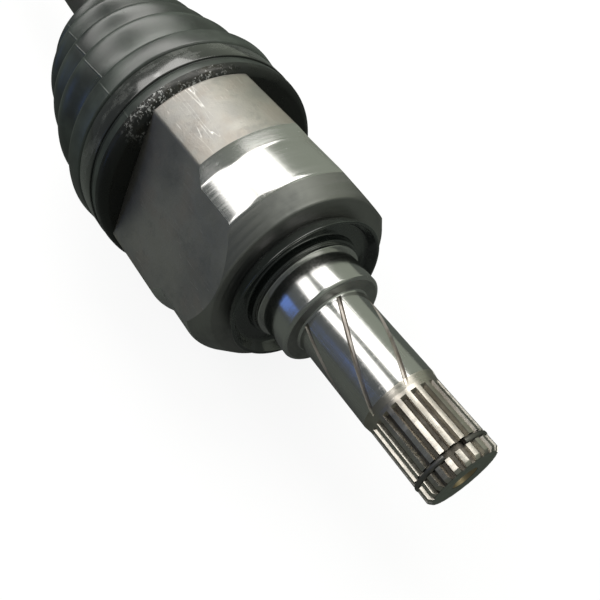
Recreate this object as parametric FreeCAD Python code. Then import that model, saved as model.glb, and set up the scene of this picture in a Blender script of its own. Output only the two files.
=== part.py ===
import FreeCAD, Part
import math
import os

# Inboard tripod CV joint of a drive shaft, in millimetres.
# +X is the joint axis towards the splined tip, +Z is up, and the origin is the
# centre of the seal collar's front face.
# Housing side: tulip housing with its stub, deflector, circlip, boot and clamp.
# Shaft side: spider, rollers, needles, retainers and the intermediate shaft.

# ---------------------------------------------------------------- stub shaft
stub_length = 67.2            # collar face to splined tip
journal_r = 14.0
journal_length = 36.3
journal_fillet = 1.2
fillet_steps = 4
spline_lead_in = 2.6          # cone between journal and spline
stub_spline_r = 13.5
stub_tooth_depth = 1.35
stub_teeth = 22
space_root_share = 0.14       # half of a tooth space's floor, as a share of the pitch
space_tip_share = 0.27        # and half of its opening
spline_end_margin = 0.6
cut_over = 1.0                # how far cutting shapes reach beyond the metal
same_size = 0.01              # two lengths this close count as equal
stub_runout = 1.6
tip_chamfer = 1.1
circlip_setback = 5.1         # tip to circlip groove
circlip_wire_r = 1.0
circlip_slack = 0.05
circlip_stand = 0.3           # circlip proud of its spline
groove_depth = 2.1
circlip_gap_angle = 34.0
circlip_gap_at = 65.0
wire_sides = 6
wire_steps = 28
centre_drill_r = 2.2
centre_drill_depth = 9.0
countersink_r = 4.8
countersink_half_angle = 30.0
oil_grooves = 6
oil_groove_lead = 200.0
oil_groove_width = 1.7
oil_groove_depth = 0.75
oil_groove_phase = 24.5
oil_groove_steps = 6
oil_groove_end = 0.7          # share of the lead-in cone that the grooves cross

# ------------------------------------------- seal collar and dust deflector
collar_r = 20.0
collar_length = 14.2
collar_chamfer_radial = 1.3
collar_chamfer_axial = 0.8
seat_r = 21.5
seat_length = 6.0
deflector_wall = 1.2
deflector_sleeve_length = 4.4
deflector_root_r = 29.2
deflector_rim_r = 31.6
deflector_depth = 5.5

# ------------------------------------------------------------ tulip housing
front_face_r = 36.8
shoulder_length = 7.6
turned_r = 42.8
turned_length = 18.0
ramp_length = 5.0
forged_r = 45.7
forged_length = 52.0
flat_distance = 37.0
forged_blend = 2.2
front_wall = 10.6
mouth_chamfer = 1.0
clamp_groove_depth = 1.0

# --------------------------------------------------- roller tracks and play
lobes = 3
pitch_r = 22.5
roller_r = 15.0
track_play = 0.55
track_roof_r = 36.5
cavity_r = 22.0
mouth_cone_r = 27.0
mouth_cone_length = 16.0
plunge_travel = 15.0
end_gap = 6.5                 # room in front of the rollers at full plunge, for the swing
rest_tilt = 4.0               # swing of the shaft about the upright trunnion

# ------------------------------------------------ spider, rollers, retainers
hub_r = 17.0
hub_width = 21.0
hub_chamfer = 1.2
trunnion_r = 8.0
trunnion_boss_r = 10.3
trunnion_tail = 4.0           # trunnion beyond the roller
roller_width = 10.0
roller_edge = 0.9
crown_bands = 2
roller_sides = 40
roller_hub_gap = 0.5
needle_r = 1.5
needles_per_roller = 19
needle_sides = 6
needle_play = 0.03
needle_end_gap = 0.15
washer_thickness = 1.0
washer_outer_r = 12.6
ring_sides = 32
ring_thickness = 1.1
ring_groove_depth = 0.7
ring_radial_width = 2.0
ring_gap_angle = 50.0
ring_end_bends = (45.0, 90.0, 135.0)
fit_play = 0.05
pin_chamfer = 0.8

# ------------------------------------------------------- intermediate shaft
shaft_r = 11.5
shaft_spline_r = 12.0
shaft_tooth_depth = 1.2
shaft_teeth = 24
shaft_length = 310.0
shaft_nose = 4.2              # shaft beyond the spider hub
shaft_neck = 2.0              # length of each taper between two diameters
shaft_ring_depth = 1.5
shaft_ring_width = 2.6
nose_chamfer = 1.0
stop_ring_gap = 0.1
spider_spline_tail = 6.0
boot_land_r = 12.8
boot_land_margin = 5.0
outer_spline_length = 26.0
outer_land_length = 16.0
outer_land_setback = 62.0

# --------------------------------------------------------------------- boot
cuff_wall = 1.7
cuff_length = 20.0            # boot over the housing
lip_length = 9.4
lip_bead = 0.55
lip_round = 2.6
lip_shape = ((0.0, -1.0, 0.0), (0.4, -0.3, 0.0), (1.0, 0.0, 0.5))  # back, out and bead
lip_top = 0.5                 # where the bead is highest, as a share of the lip's length
lip_fall = 0.6                # share of the bead left beside the clamp
clamp_width = 9.0
clamp_thickness = 0.8
clamp_groove_shoulder = 0.6
crest_start = 0.5             # share of the first crest's rise just behind the clamp
boot_wall = 2.2
boot_throat = 0.9             # bell mouth to the start of the hollow
boot_sides = 48
lean_power = 1.3
crest_offsets = (6.0, 28.0, 44.0, 60.0, 74.0, 85.0)
crest_drops = (0.0, 3.8, 7.2, 10.6, 15.8, 21.8)
first_crest_rise = 1.9
fold_depths = (6.0, 4.6, 5.6, 6.6, 6.4)
small_cuff_offset = 91.0
small_cuff_length = 13.0
small_cuff_wall = 4.2
small_cuff_room = 0.2
small_clamp_width = 7.0

# -------------------------------------------------------------- clamp's ear
ear_width = 9.0
ear_height = 4.2
ear_wall = 0.9
ear_angle = -25.0
ear_outline = ((1.0, 0.0), (0.62, 0.35), (0.8, 0.75), (0.45, 1.0))  # shares of width and height
ear_window = 0.7
ear_root = 0.4                # how deep the ear's foot stands in the band

# ------------------------------------------------------------ derived places
collar_back_x = -collar_length
front_face_x = collar_back_x - seat_length
shoulder_x = front_face_x - shoulder_length
turned_end_x = shoulder_x - turned_length
forged_start_x = turned_end_x - ramp_length
mouth_x = forged_start_x - forged_length
cavity_floor_x = front_face_x - front_wall
track_r = roller_r + track_play
circlip_outer_r = stub_spline_r + circlip_stand
centre_x = cavity_floor_x - end_gap - plunge_travel - roller_r
spline_start_x = journal_length + spline_lead_in
circlip_groove_width = 2 * (circlip_wire_r + circlip_slack)
circlip_x = stub_length - circlip_setback - circlip_groove_width / 2
cuff_start_x = mouth_x + cuff_length
cuff_r = forged_r + cuff_wall
clamp_x = cuff_start_x - lip_length - clamp_width / 2
lobe_angles = [90.0 + 360.0 / lobes * i for i in range(lobes)]
flat_angles = [angle + 180.0 / lobes for angle in lobe_angles]
roller_inner_z = pitch_r - roller_width / 2
roller_outer_z = pitch_r + roller_width / 2
roller_bore_r = trunnion_r + 2 * (needle_r + needle_play)
trunnion_end_z = roller_outer_z + trunnion_tail
washer_z = roller_outer_z + needle_end_gap
trunnion_ring_z = washer_z + washer_thickness
small_cuff_inner_r = boot_land_r + fit_play
small_cuff_r = small_cuff_inner_r + small_cuff_wall

X_AXIS = FreeCAD.Vector(1, 0, 0)
Y_AXIS = FreeCAD.Vector(0, 1, 0)
Z_AXIS = FreeCAD.Vector(0, 0, 1)
ORIGIN = FreeCAD.Vector(0, 0, 0)
JOINT_CENTRE = FreeCAD.Vector(centre_x, 0, 0)


# ------------------------------------------------------------------- helpers
def turned(profile):
    """Revolve (x, r) points about the joint axis into a solid."""
    points = [FreeCAD.Vector(x, 0, r) for x, r in profile]
    return Part.Face(closed(points)).revolve(ORIGIN, X_AXIS, 360)


def bar(x_start, x_end, radius):
    """Plain cylinder along X between two stations."""
    low = min(x_start, x_end)
    return Part.makeCylinder(radius, abs(x_end - x_start), FreeCAD.Vector(low, 0, 0), X_AXIS)


def tube(x_start, x_end, inner, outer):
    """Plain ring along X."""
    return bar(x_start, x_end, outer).cut(bar(x_start, x_end, inner))


def polar(x, radius, angle):
    """Point at an angle from +Y towards +Z about the X axis."""
    turn = math.radians(angle)
    return FreeCAD.Vector(x, radius * math.cos(turn), radius * math.sin(turn))


def spun(shape, angle):
    """Copy turned about the X axis."""
    copy = shape.copy()
    copy.rotate(ORIGIN, X_AXIS, angle)
    return copy


def swung(shape):
    """Copy carried from the housing axis to the shaft's rest direction."""
    copy = shape.copy()
    copy.rotate(JOINT_CENTRE, Z_AXIS, -rest_tilt)
    return copy


def at_trunnion(shape, angle):
    """Copy of a piece built along +Z, placed on the trunnion at an angle."""
    copy = shape.copy()
    copy.rotate(ORIGIN, X_AXIS, angle - 90.0)
    copy.translate(JOINT_CENTRE)
    return swung(copy)


def spline_space(root_r, tip_r, teeth, x_start, x_end, runout):
    """One tooth space along X, with its far end rising out of the shaft."""
    clear_r = tip_r + cut_over
    pitch = 2 * math.pi / teeth
    root_half = pitch * space_root_share
    tip_half = pitch * space_tip_share
    slope = (tip_half - root_half) / (tip_r - root_r)
    clear_half = tip_half + slope * (clear_r - tip_r)
    section = [
        FreeCAD.Vector(0, root_r * math.sin(root_half), root_r * math.cos(root_half)),
        FreeCAD.Vector(0, clear_r * math.sin(clear_half), clear_r * math.cos(clear_half)),
        FreeCAD.Vector(0, -clear_r * math.sin(clear_half), clear_r * math.cos(clear_half)),
        FreeCAD.Vector(0, -root_r * math.sin(root_half), root_r * math.cos(root_half)),
    ]
    face = Part.Face(closed(section))
    face.translate(FreeCAD.Vector(x_start, 0, 0))
    space = face.extrude(FreeCAD.Vector(x_end - x_start, 0, 0))
    inward = math.copysign(runout, x_start - x_end)
    low = root_r / 2
    ramp = closed([
        FreeCAD.Vector(x_start, -tip_r, low),
        FreeCAD.Vector(x_end + inward, -tip_r, low),
        FreeCAD.Vector(x_end + inward, -tip_r, root_r * math.cos(root_half)),
        FreeCAD.Vector(x_end, -tip_r, clear_r),
        FreeCAD.Vector(x_start, -tip_r, clear_r),
    ])
    envelope = Part.Face(ramp).extrude(FreeCAD.Vector(0, 2 * tip_r, 0))
    return space.common(envelope)


def spline_spaces(root_r, tip_r, teeth, x_start, x_end, runout):
    """All tooth spaces of a spline."""
    space = spline_space(root_r, tip_r, teeth, x_start, x_end, runout)
    return [spun(space, 360.0 / teeth * i) for i in range(teeth)]


def closed(corners):
    """Closed outline through a list of corners."""
    return Part.makePolygon(list(corners) + [corners[0]])


def many_sided(radius, sides, z=0.0):
    """Corners of a circle drawn with straight sides, across Z."""
    turns = [2 * math.pi * i / sides for i in range(sides)]
    return [FreeCAD.Vector(radius * math.cos(t), radius * math.sin(t), z) for t in turns]


def faceted(rings):
    """Solid with flat faces through rings of corners, capped at both ends."""
    faces = [Part.Face(closed(rings[0])), Part.Face(closed(rings[-1]))]
    for low, high in zip(rings, rings[1:]):
        for i in range(len(low)):
            j = (i + 1) % len(low)
            faces.append(Part.Face(closed([low[i], low[j], high[i]])))
            faces.append(Part.Face(closed([low[j], high[j], high[i]])))
    return Part.makeSolid(Part.makeShell(faces)).removeSplitter()


def open_ring(inner, outer, thickness, gap_angle):
    """Flat many-sided snap ring along +Z, open at the -X side, with rounded ends."""
    half = math.radians(gap_angle / 2)
    start = half - math.pi
    sweep = 2 * math.pi - 2 * half
    turns = [start + sweep * i / ring_sides for i in range(ring_sides + 1)]
    mean = (inner + outer) / 2
    end_r = (outer - inner) / 2
    outline = [FreeCAD.Vector(outer * math.cos(t), outer * math.sin(t), 0) for t in turns]
    ends = []
    for turn, way in ((turns[-1], 1), (turns[0], -1)):
        radial = FreeCAD.Vector(math.cos(turn), math.sin(turn), 0)
        along = FreeCAD.Vector(-math.sin(turn), math.cos(turn), 0) * way
        bends = [math.radians(b) for b in ring_end_bends]
        cap = [radial * (mean + end_r * math.cos(b)) + along * end_r * math.sin(b) for b in bends]
        ends.append(cap if way > 0 else cap[::-1])
    outline += ends[0]
    outline += [FreeCAD.Vector(inner * math.cos(t), inner * math.sin(t), 0) for t in turns[::-1]]
    outline += ends[1]
    return Part.Face(closed(outline)).extrude(FreeCAD.Vector(0, 0, thickness))


def shaft_ring(station):
    """Snap ring round the shaft, its back face at a named station."""
    inner = (shaft_spline_r - shaft_ring_depth) / math.cos(math.pi / ring_sides)
    ring = open_ring(inner, inner + shaft_ring_width, ring_thickness, ring_gap_angle)
    ring.rotate(ORIGIN, Y_AXIS, -90)
    ring.translate(FreeCAD.Vector(shaft_stations()[station] + ring_thickness, 0, 0))
    return swung(ring)


# ------------------------------------------------------------- tulip housing
def forged_bar():
    """Three-lobed forged bar: lobes on one circle, flats, blended edges."""
    half_flat = math.degrees(math.acos(flat_distance / forged_r))
    edge = forged_r * math.sin(math.radians(half_flat))
    blank = bar(mouth_x, 0, forged_r)
    for angle in flat_angles:
        slab = Part.makeBox(
            -mouth_x, 2 * edge + forged_r, forged_r,
            FreeCAD.Vector(mouth_x, -edge - forged_r / 2, flat_distance),
        )
        blank = blank.cut(spun(slab, angle - 90.0))
    full_length = [e for e in blank.Edges if abs(e.Length + mouth_x) < same_size]
    corners = [e for e in full_length if math.hypot(e.CenterOfMass.y, e.CenterOfMass.z) > flat_distance]
    return blank.makeFillet(forged_blend, corners)


def stub_profile():
    """Turned outline of stub, collar, seat and housing, tip first."""
    turns = [math.pi / 2 * i / fillet_steps for i in range(fillet_steps + 1)]
    fillet = [
        (journal_fillet * (1 - math.cos(t)), journal_r + journal_fillet * (1 - math.sin(t))) for t in turns
    ]
    groove_low = circlip_x - circlip_groove_width / 2
    groove_high = circlip_x + circlip_groove_width / 2
    groove_r = stub_spline_r - groove_depth
    return [
        (stub_length, 0),
        (stub_length, stub_spline_r - tip_chamfer),
        (stub_length - tip_chamfer, stub_spline_r),
        (groove_high, stub_spline_r),
        (groove_high, groove_r),
        (groove_low, groove_r),
        (groove_low, stub_spline_r),
        (spline_start_x, stub_spline_r),
        (journal_length, journal_r),
    ] + fillet[::-1] + [
        (0, collar_r - collar_chamfer_radial),
        (-collar_chamfer_axial, collar_r),
        (collar_back_x, collar_r),
        (collar_back_x, seat_r),
        (front_face_x, seat_r),
        (front_face_x, front_face_r),
        (shoulder_x, turned_r),
        (turned_end_x, turned_r),
        (forged_start_x, forged_r),
        (mouth_x + mouth_chamfer, forged_r),
        (mouth_x, forged_r - mouth_chamfer),
        (mouth_x, 0),
    ]


def oil_groove():
    """V groove climbing the journal on a long helix."""
    start = journal_fillet
    end = journal_length + spline_lead_in * oil_groove_end
    half = math.degrees(oil_groove_width / 2 / journal_r)
    top = journal_r + cut_over
    bottom = journal_r - oil_groove_depth
    spread = half * (top - bottom) / oil_groove_depth
    sections = []
    for i in range(oil_groove_steps + 1):
        x = start + (end - start) * i / oil_groove_steps
        angle = oil_groove_phase + 360.0 * x / oil_groove_lead
        corners = [polar(x, bottom, angle), polar(x, top, angle + spread), polar(x, top, angle - spread)]
        sections.append(closed(corners))
    return Part.makeLoft(sections, True, False)


def cavity():
    """Trefoil cavity: three roller tracks round a central bore, open at the mouth."""
    length = cavity_floor_x - mouth_x
    space = bar(cavity_floor_x, mouth_x, cavity_r)
    roof = bar(cavity_floor_x, mouth_x, track_roof_r)
    for angle in lobe_angles:
        centre = polar(mouth_x, pitch_r, angle)
        track = Part.makeCylinder(track_r, length, centre, X_AXIS)
        space = space.fuse(track.common(roof))
    cone = turned([
        (mouth_x, 0), (mouth_x, mouth_cone_r), (mouth_x + mouth_cone_length, cavity_r),
        (mouth_x + mouth_cone_length, 0),
    ])
    return space.fuse(cone)


def clamp_groove():
    """Ring cut under the large clamp, which the boot's inner rib fills."""
    width = clamp_width - 2 * clamp_groove_shoulder
    groove_r = forged_r - clamp_groove_depth
    return tube(clamp_x - width / 2, clamp_x + width / 2, groove_r, forged_r + cuff_wall)


def centre_drill():
    """Lathe centre in the tip, as a drilled hole with a countersink."""
    mouth = stub_length
    cone_depth = (countersink_r - centre_drill_r) / math.tan(math.radians(countersink_half_angle))
    return turned([
        (mouth, 0), (mouth, countersink_r), (mouth - cone_depth, centre_drill_r),
        (mouth - centre_drill_depth, centre_drill_r),
        (mouth - centre_drill_depth - centre_drill_r / 2, 0),
    ])


def make_tulip_housing():
    """One forging: stub shaft, collar, shoulder and the three-track bell."""
    body = turned(stub_profile())
    bell = body.common(forged_bar())
    stub = body.common(bar(0, stub_length, collar_r))
    housing = bell.fuse(stub).removeSplitter()
    housing = housing.cut(cavity())
    housing = housing.cut(clamp_groove())
    grooves = [spun(oil_groove(), 360.0 / oil_grooves * i) for i in range(oil_grooves)]
    spaces = spline_spaces(
        stub_spline_r - stub_tooth_depth, stub_spline_r, stub_teeth,
        stub_length + cut_over, spline_start_x + spline_end_margin, stub_runout,
    )
    return housing.cut(grooves + spaces + [centre_drill()])


def make_deflector_ring():
    """Pressed dust cup on the seat behind the collar."""
    back = front_face_x
    wall = deflector_wall
    lip = back + deflector_depth
    return turned([
        (back, seat_r), (back + deflector_sleeve_length, seat_r),
        (back + deflector_sleeve_length, seat_r + wall), (back + wall, seat_r + wall),
        (back + wall, deflector_root_r - wall), (lip, deflector_rim_r - wall),
        (lip, deflector_rim_r), (back, deflector_root_r),
    ])


def wire_ring(x, outer_r, gap_angle, gap_at):
    """Wire ring about the joint axis, drawn with straight sides and open over a gap."""
    start_angle = gap_at + gap_angle / 2
    centre_r = outer_r - circlip_wire_r
    rings = []
    for step in range(wire_steps + 1):
        angle = start_angle + (360.0 - gap_angle) * step / wire_steps
        corners = []
        for i in range(wire_sides):
            turn = 2 * math.pi * (i + 0.5) / wire_sides
            side = circlip_wire_r * math.sin(turn)
            corners.append(polar(x + side, centre_r + circlip_wire_r * math.cos(turn), angle))
        rings.append(corners)
    return faceted(rings)


def make_stub_circlip():
    """Round-wire circlip sprung out of its groove in the splined tip."""
    return wire_ring(circlip_x, circlip_outer_r, circlip_gap_angle, circlip_gap_at)


# ---------------------------------------------------------------- shaft side
def make_tripod_spider():
    """Splined hub with three trunnions."""
    half = hub_width / 2
    hub = bar(-half, half, hub_r)
    rims = [e for e in hub.Edges if len(e.Vertexes) == 1]
    hub = hub.makeChamfer(hub_chamfer, rims)
    spider = hub
    groove_r = trunnion_r - ring_groove_depth
    for angle in lobe_angles:
        boss = Part.makeCylinder(trunnion_boss_r, roller_inner_z - roller_hub_gap)
        pin = Part.makeCylinder(trunnion_r, trunnion_end_z)
        pin = pin.makeChamfer(pin_chamfer, [pin.Edges[0]])
        groove_base = FreeCAD.Vector(0, 0, trunnion_ring_z)
        groove = Part.makeCylinder(trunnion_r + cut_over, ring_thickness + fit_play, groove_base)
        groove = groove.cut(Part.makeCylinder(groove_r, trunnion_end_z))
        trunnion = boss.fuse(pin).cut(groove)
        spider = spider.fuse(spun(trunnion, angle - 90.0))
    bore_r = shaft_spline_r + fit_play
    root_r = shaft_spline_r - shaft_tooth_depth + fit_play
    spider = spider.cut(bar(-half, half, root_r))
    gap = spider_tooth_gap(root_r, bore_r, half)
    spider = spider.cut([spun(gap, 360.0 / shaft_teeth * i) for i in range(shaft_teeth)]).removeSplitter()
    spider.translate(JOINT_CENTRE)
    return swung(spider)


def spider_tooth_gap(root_r, bore_r, half):
    """Room for one shaft tooth in the spider's bore."""
    pitch = 2 * math.pi / shaft_teeth
    root_half = pitch / 2 - pitch * space_root_share + fit_play / root_r
    tip_half = pitch / 2 - pitch * space_tip_share + fit_play / bore_r
    low_r = root_r - shaft_tooth_depth / 2
    corners = []
    for radius, width, side in (
        (low_r, root_half, 1), (root_r, root_half, 1), (bore_r, tip_half, 1),
        (bore_r, tip_half, -1), (root_r, root_half, -1), (low_r, root_half, -1),
    ):
        turn = math.pi / shaft_teeth + side * width
        corners.append(FreeCAD.Vector(-half, radius * math.sin(turn), radius * math.cos(turn)))
    return Part.Face(closed(corners)).extrude(FreeCAD.Vector(2 * half, 0, 0))


def make_roller(angle):
    """Barrel roller with a crowned outside, running on its needles."""
    half = roller_width / 2
    reach = half - roller_edge
    heights = [reach * (2 * i / crown_bands - 1) for i in range(crown_bands + 1)]
    crown = [(math.sqrt(roller_r ** 2 - height ** 2), height) for height in heights]
    rim_r = crown[0][0] - roller_edge
    rings = [(rim_r, -half)] + crown + [(rim_r, half)]
    barrel = faceted([many_sided(radius, roller_sides, pitch_r + height) for radius, height in rings])
    bore = Part.makeCylinder(roller_bore_r, roller_width, FreeCAD.Vector(0, 0, roller_inner_z))
    return at_trunnion(barrel.cut(bore), angle)


def make_needles(angle):
    """Full ring of needles between a trunnion and its roller."""
    circle_r = trunnion_r + needle_r + needle_play
    needles = []
    for i in range(needles_per_roller):
        turn = 2 * math.pi * i / needles_per_roller
        centre = FreeCAD.Vector(circle_r * math.cos(turn), circle_r * math.sin(turn), 0)
        face = Part.Face(closed(many_sided(needle_r, needle_sides, roller_inner_z)))
        face.rotate(ORIGIN, Z_AXIS, math.degrees(turn))
        face.translate(centre)
        needles.append(face.extrude(FreeCAD.Vector(0, 0, roller_width)))
    return at_trunnion(Part.makeCompound(needles), angle)


def make_needle_washer(angle):
    """Many-sided washer that keeps the needles and the roller on the trunnion."""
    bore_r = (trunnion_r + fit_play) / math.cos(math.pi / ring_sides)
    up = FreeCAD.Vector(0, 0, washer_thickness)
    outer = Part.Face(closed(many_sided(washer_outer_r, ring_sides, washer_z))).extrude(up)
    inner = Part.Face(closed(many_sided(bore_r, ring_sides, washer_z))).extrude(up)
    return at_trunnion(outer.cut(inner), angle)


def make_trunnion_ring(angle):
    """Snap ring in the trunnion's groove, outside the washer."""
    inner = (trunnion_r - ring_groove_depth) / math.cos(math.pi / ring_sides)
    ring = open_ring(inner, inner + ring_radial_width, ring_thickness, ring_gap_angle)
    ring.translate(FreeCAD.Vector(0, 0, trunnion_ring_z))
    return at_trunnion(ring, angle)


def shaft_stations():
    """Named stations of the intermediate shaft along the unswung axis."""
    half = hub_width / 2
    tip = centre_x + half + shaft_nose
    cuff_high = mouth_x - small_cuff_offset
    return {
        "tip": tip,
        "nose_ring": centre_x + half + stop_ring_gap,
        "stop_ring": centre_x - half - stop_ring_gap - ring_thickness,
        "spline_end": centre_x - half - spider_spline_tail,
        "land_start": cuff_high + boot_land_margin,
        "land_end": cuff_high - small_cuff_length - boot_land_margin,
        "outer_land_start": tip - shaft_length + outer_land_setback + outer_land_length,
        "outer_land_end": tip - shaft_length + outer_land_setback,
        "outer_spline": tip - shaft_length + outer_spline_length,
        "outer_tip": tip - shaft_length,
    }


def shaft_profile(at):
    """Turned outline of the intermediate shaft, joint end first."""
    ring_r = shaft_spline_r - shaft_ring_depth
    ring_wide = ring_thickness + fit_play
    tip = at["tip"]
    profile = [(tip, 0), (tip, shaft_spline_r - nose_chamfer), (tip - nose_chamfer, shaft_spline_r)]
    for groove_x in (at["nose_ring"], at["stop_ring"]):
        profile += [(groove_x + ring_wide, shaft_spline_r), (groove_x + ring_wide, ring_r),
                    (groove_x, ring_r), (groove_x, shaft_spline_r)]
    profile += [(at["spline_end"], shaft_spline_r), (at["spline_end"] - shaft_neck, shaft_r)]
    for start, end in (("land_start", "land_end"), ("outer_land_start", "outer_land_end")):
        profile += [(at[start], shaft_r), (at[start] - shaft_neck, boot_land_r),
                    (at[end] + shaft_neck, boot_land_r), (at[end], shaft_r)]
    groove = at["outer_tip"] + circlip_setback
    groove_end = groove + circlip_groove_width
    wire_groove_r = shaft_spline_r - groove_depth
    profile += [
        (at["outer_spline"] + shaft_neck, shaft_r), (at["outer_spline"], shaft_spline_r),
        (groove_end, shaft_spline_r), (groove_end, wire_groove_r),
        (groove, wire_groove_r), (groove, shaft_spline_r),
        (at["outer_tip"] + nose_chamfer, shaft_spline_r), (at["outer_tip"], shaft_spline_r - nose_chamfer),
        (at["outer_tip"], 0),
    ]
    return profile


def make_intermediate_shaft():
    """Solid bar with a spline at each end and two boot lands."""
    at = shaft_stations()
    shaft = turned(shaft_profile(at))
    root_r = shaft_spline_r - shaft_tooth_depth
    inner_end = at["spline_end"] + spline_end_margin
    outer_end = at["outer_spline"] - spline_end_margin
    inner_start = at["tip"] + cut_over
    outer_start = at["outer_tip"] - cut_over
    inner = spline_spaces(root_r, shaft_spline_r, shaft_teeth, inner_start, inner_end, stub_runout)
    outer = spline_spaces(root_r, shaft_spline_r, shaft_teeth, outer_start, outer_end, stub_runout)
    return swung(shaft.cut(inner + outer))


def make_nose_ring():
    """Snap ring in front of the spider, in the shaft's nose."""
    return shaft_ring("nose_ring")


def make_stop_ring():
    """Snap ring behind the spider."""
    return shaft_ring("stop_ring")


def make_shaft_circlip():
    """Round-wire circlip of the outer spline."""
    x = shaft_stations()["outer_tip"] + circlip_setback + circlip_groove_width / 2
    return swung(wire_ring(x, shaft_spline_r + circlip_stand, circlip_gap_angle, circlip_gap_at))


# -------------------------------------------------------------- boot, clamps
def boot_ring(x, radius):
    """Corners of one ring of the boot, whose centre line leans from housing to shaft."""
    first_valley = (crest_offsets[0] + crest_offsets[1]) / 2
    share = (mouth_x - first_valley - x) / (small_cuff_offset - first_valley)
    weight = min(1.0, max(0.0, share)) ** lean_power
    on_housing = FreeCAD.Vector(x, 0, 0)
    on_shaft = JOINT_CENTRE + FreeCAD.Rotation(Z_AXIS, -rest_tilt).multVec(on_housing - JOINT_CENTRE)
    centre = on_housing * (1 - weight) + on_shaft * weight
    lean = FreeCAD.Rotation(Z_AXIS, -rest_tilt * weight)
    return [centre + lean.multVec(polar(0, radius, 360.0 * i / boot_sides)) for i in range(boot_sides)]


def fold_stations():
    """(offset behind the mouth, radius) of each crest and valley."""
    first_r = cuff_r + first_crest_rise
    stations = []
    for i, offset in enumerate(crest_offsets):
        crest_r = first_r - crest_drops[i]
        stations.append((offset, crest_r))
        if i + 1 < len(crest_offsets):
            next_r = first_r - crest_drops[i + 1]
            middle = (offset + crest_offsets[i + 1]) / 2
            stations.append((middle, (crest_r + next_r) / 2 - fold_depths[i]))
    return stations


def folded(inset):
    """Crests and valleys of the bellows, moved inwards by a wall."""
    return [(mouth_x - offset, radius - inset) for offset, radius in fold_stations()]


def cuff_outline():
    """(x, r) of the large cuff from its front lip to the first crest."""
    bead_r = cuff_r + lip_bead
    groove_start = clamp_x + clamp_width / 2
    groove_end = clamp_x - clamp_width / 2
    shoulder = clamp_groove_shoulder
    lip = [
        (cuff_start_x - back * lip_round, cuff_r + out * lip_round + bead * lip_bead)
        for back, out, bead in lip_shape
    ]
    return lip + [
        (cuff_start_x - lip_length * lip_top, bead_r),
        (groove_start + shoulder * 2, cuff_r + lip_bead * lip_fall),
        (groove_start + shoulder, cuff_r - shoulder),
        (groove_start, cuff_r), (groove_end, cuff_r), (groove_end - shoulder, cuff_r - shoulder),
        (groove_end - 2 * shoulder, cuff_r + first_crest_rise * crest_start),
    ]


def bell_room():
    """Room for the housing inside the boot, with the rib that fills its clamp groove."""
    bell = bar(mouth_x, cuff_start_x + cut_over, forged_r).common(forged_bar())
    bell.scale(1 + fit_play / forged_r, FreeCAD.Vector(clamp_x, 0, 0))
    return bell.cut(clamp_groove())


def make_boot():
    """Convoluted boot: thick cuff over the bell, six folds, cuff on the shaft."""
    cuff_x = mouth_x - small_cuff_offset
    end_x = cuff_x - small_cuff_length
    outline = cuff_outline() + folded(0) + [(cuff_x, small_cuff_r), (end_x, small_cuff_r)]
    outer = faceted([boot_ring(x, r) for x, r in outline])
    first = mouth_x - boot_throat
    hollow = [(first, cuff_r + first_crest_rise - boot_wall)] + folded(boot_wall)
    hollow += [(cuff_x, small_cuff_inner_r + small_cuff_room)]
    inner = faceted([boot_ring(x, r) for x, r in hollow])
    shaft_hole = swung(bar(mouth_x, end_x - cuff_length, small_cuff_inner_r))
    passage = bar(first, mouth_x, forged_r - mouth_chamfer)
    return outer.cut([inner, shaft_hole, bell_room(), passage])


def clamp_ear(radius, width, height):
    """Crimped ear standing on a band at the top of the ring (+Z)."""
    half = ear_width / 2
    side = [(half * across, height * up) for across, up in ear_outline]
    outline = [(-y, z) for y, z in side] + side[::-1]
    base = radius - ear_root
    points = [FreeCAD.Vector(-width / 2, y, base + z) for y, z in outline]
    return Part.Face(closed(points)).extrude(FreeCAD.Vector(width, 0, 0))


def clamp_band(seat, width, thickness):
    """Band clamp centred on x = 0, with its ear on the far side."""
    band = tube(-width / 2, width / 2, seat, seat + thickness)
    ear = clamp_ear(seat + thickness, width, ear_height)
    window = clamp_ear(seat + thickness, width, ear_height - ear_wall)
    window.scale(ear_window, FreeCAD.Vector(0, 0, seat + thickness - ear_root))
    ear = ear.cut(window)
    return band.fuse(spun(ear, ear_angle - 90.0)).removeSplitter()


def make_large_clamp():
    """Clamp round the boot's large cuff."""
    clamp = clamp_band(cuff_r + fit_play, clamp_width, clamp_thickness)
    clamp.translate(FreeCAD.Vector(clamp_x, 0, 0))
    return clamp


def make_small_clamp():
    """Clamp round the boot's small cuff."""
    clamp = clamp_band(small_cuff_r + fit_play, small_clamp_width, clamp_thickness)
    clamp.translate(FreeCAD.Vector(mouth_x - small_cuff_offset - small_cuff_length / 2, 0, 0))
    return swung(clamp)


# -------------------------------------------------------------------- output
def build():
    """Every node of the joint by name."""
    nodes = {
        "tulip_housing": make_tulip_housing(),
        "deflector_ring": make_deflector_ring(),
        "stub_circlip": make_stub_circlip(),
        "boot": make_boot(),
        "large_clamp": make_large_clamp(),
        "tripod_spider": make_tripod_spider(),
        "intermediate_shaft": make_intermediate_shaft(),
        "nose_snap_ring": make_nose_ring(),
        "stop_snap_ring": make_stop_ring(),
        "small_clamp": make_small_clamp(),
        "shaft_circlip": make_shaft_circlip(),
    }
    for number, angle in enumerate(lobe_angles, start=1):
        nodes[f"roller_{number}"] = make_roller(angle)
        nodes[f"needle_rollers_{number}"] = make_needles(angle)
        nodes[f"needle_washer_{number}"] = make_needle_washer(angle)
        nodes[f"trunnion_snap_ring_{number}"] = make_trunnion_ring(angle)
    return nodes


os.makedirs("parts", exist_ok=True)
for node_name, node_shape in build().items():
    node_shape.exportStep(f"parts/{node_name}.step")
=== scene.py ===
import logging
import math
from dataclasses import dataclass
from enum import Enum
from typing import Callable, Sequence

import bmesh
import bpy
from mathutils import Matrix, Vector


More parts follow.
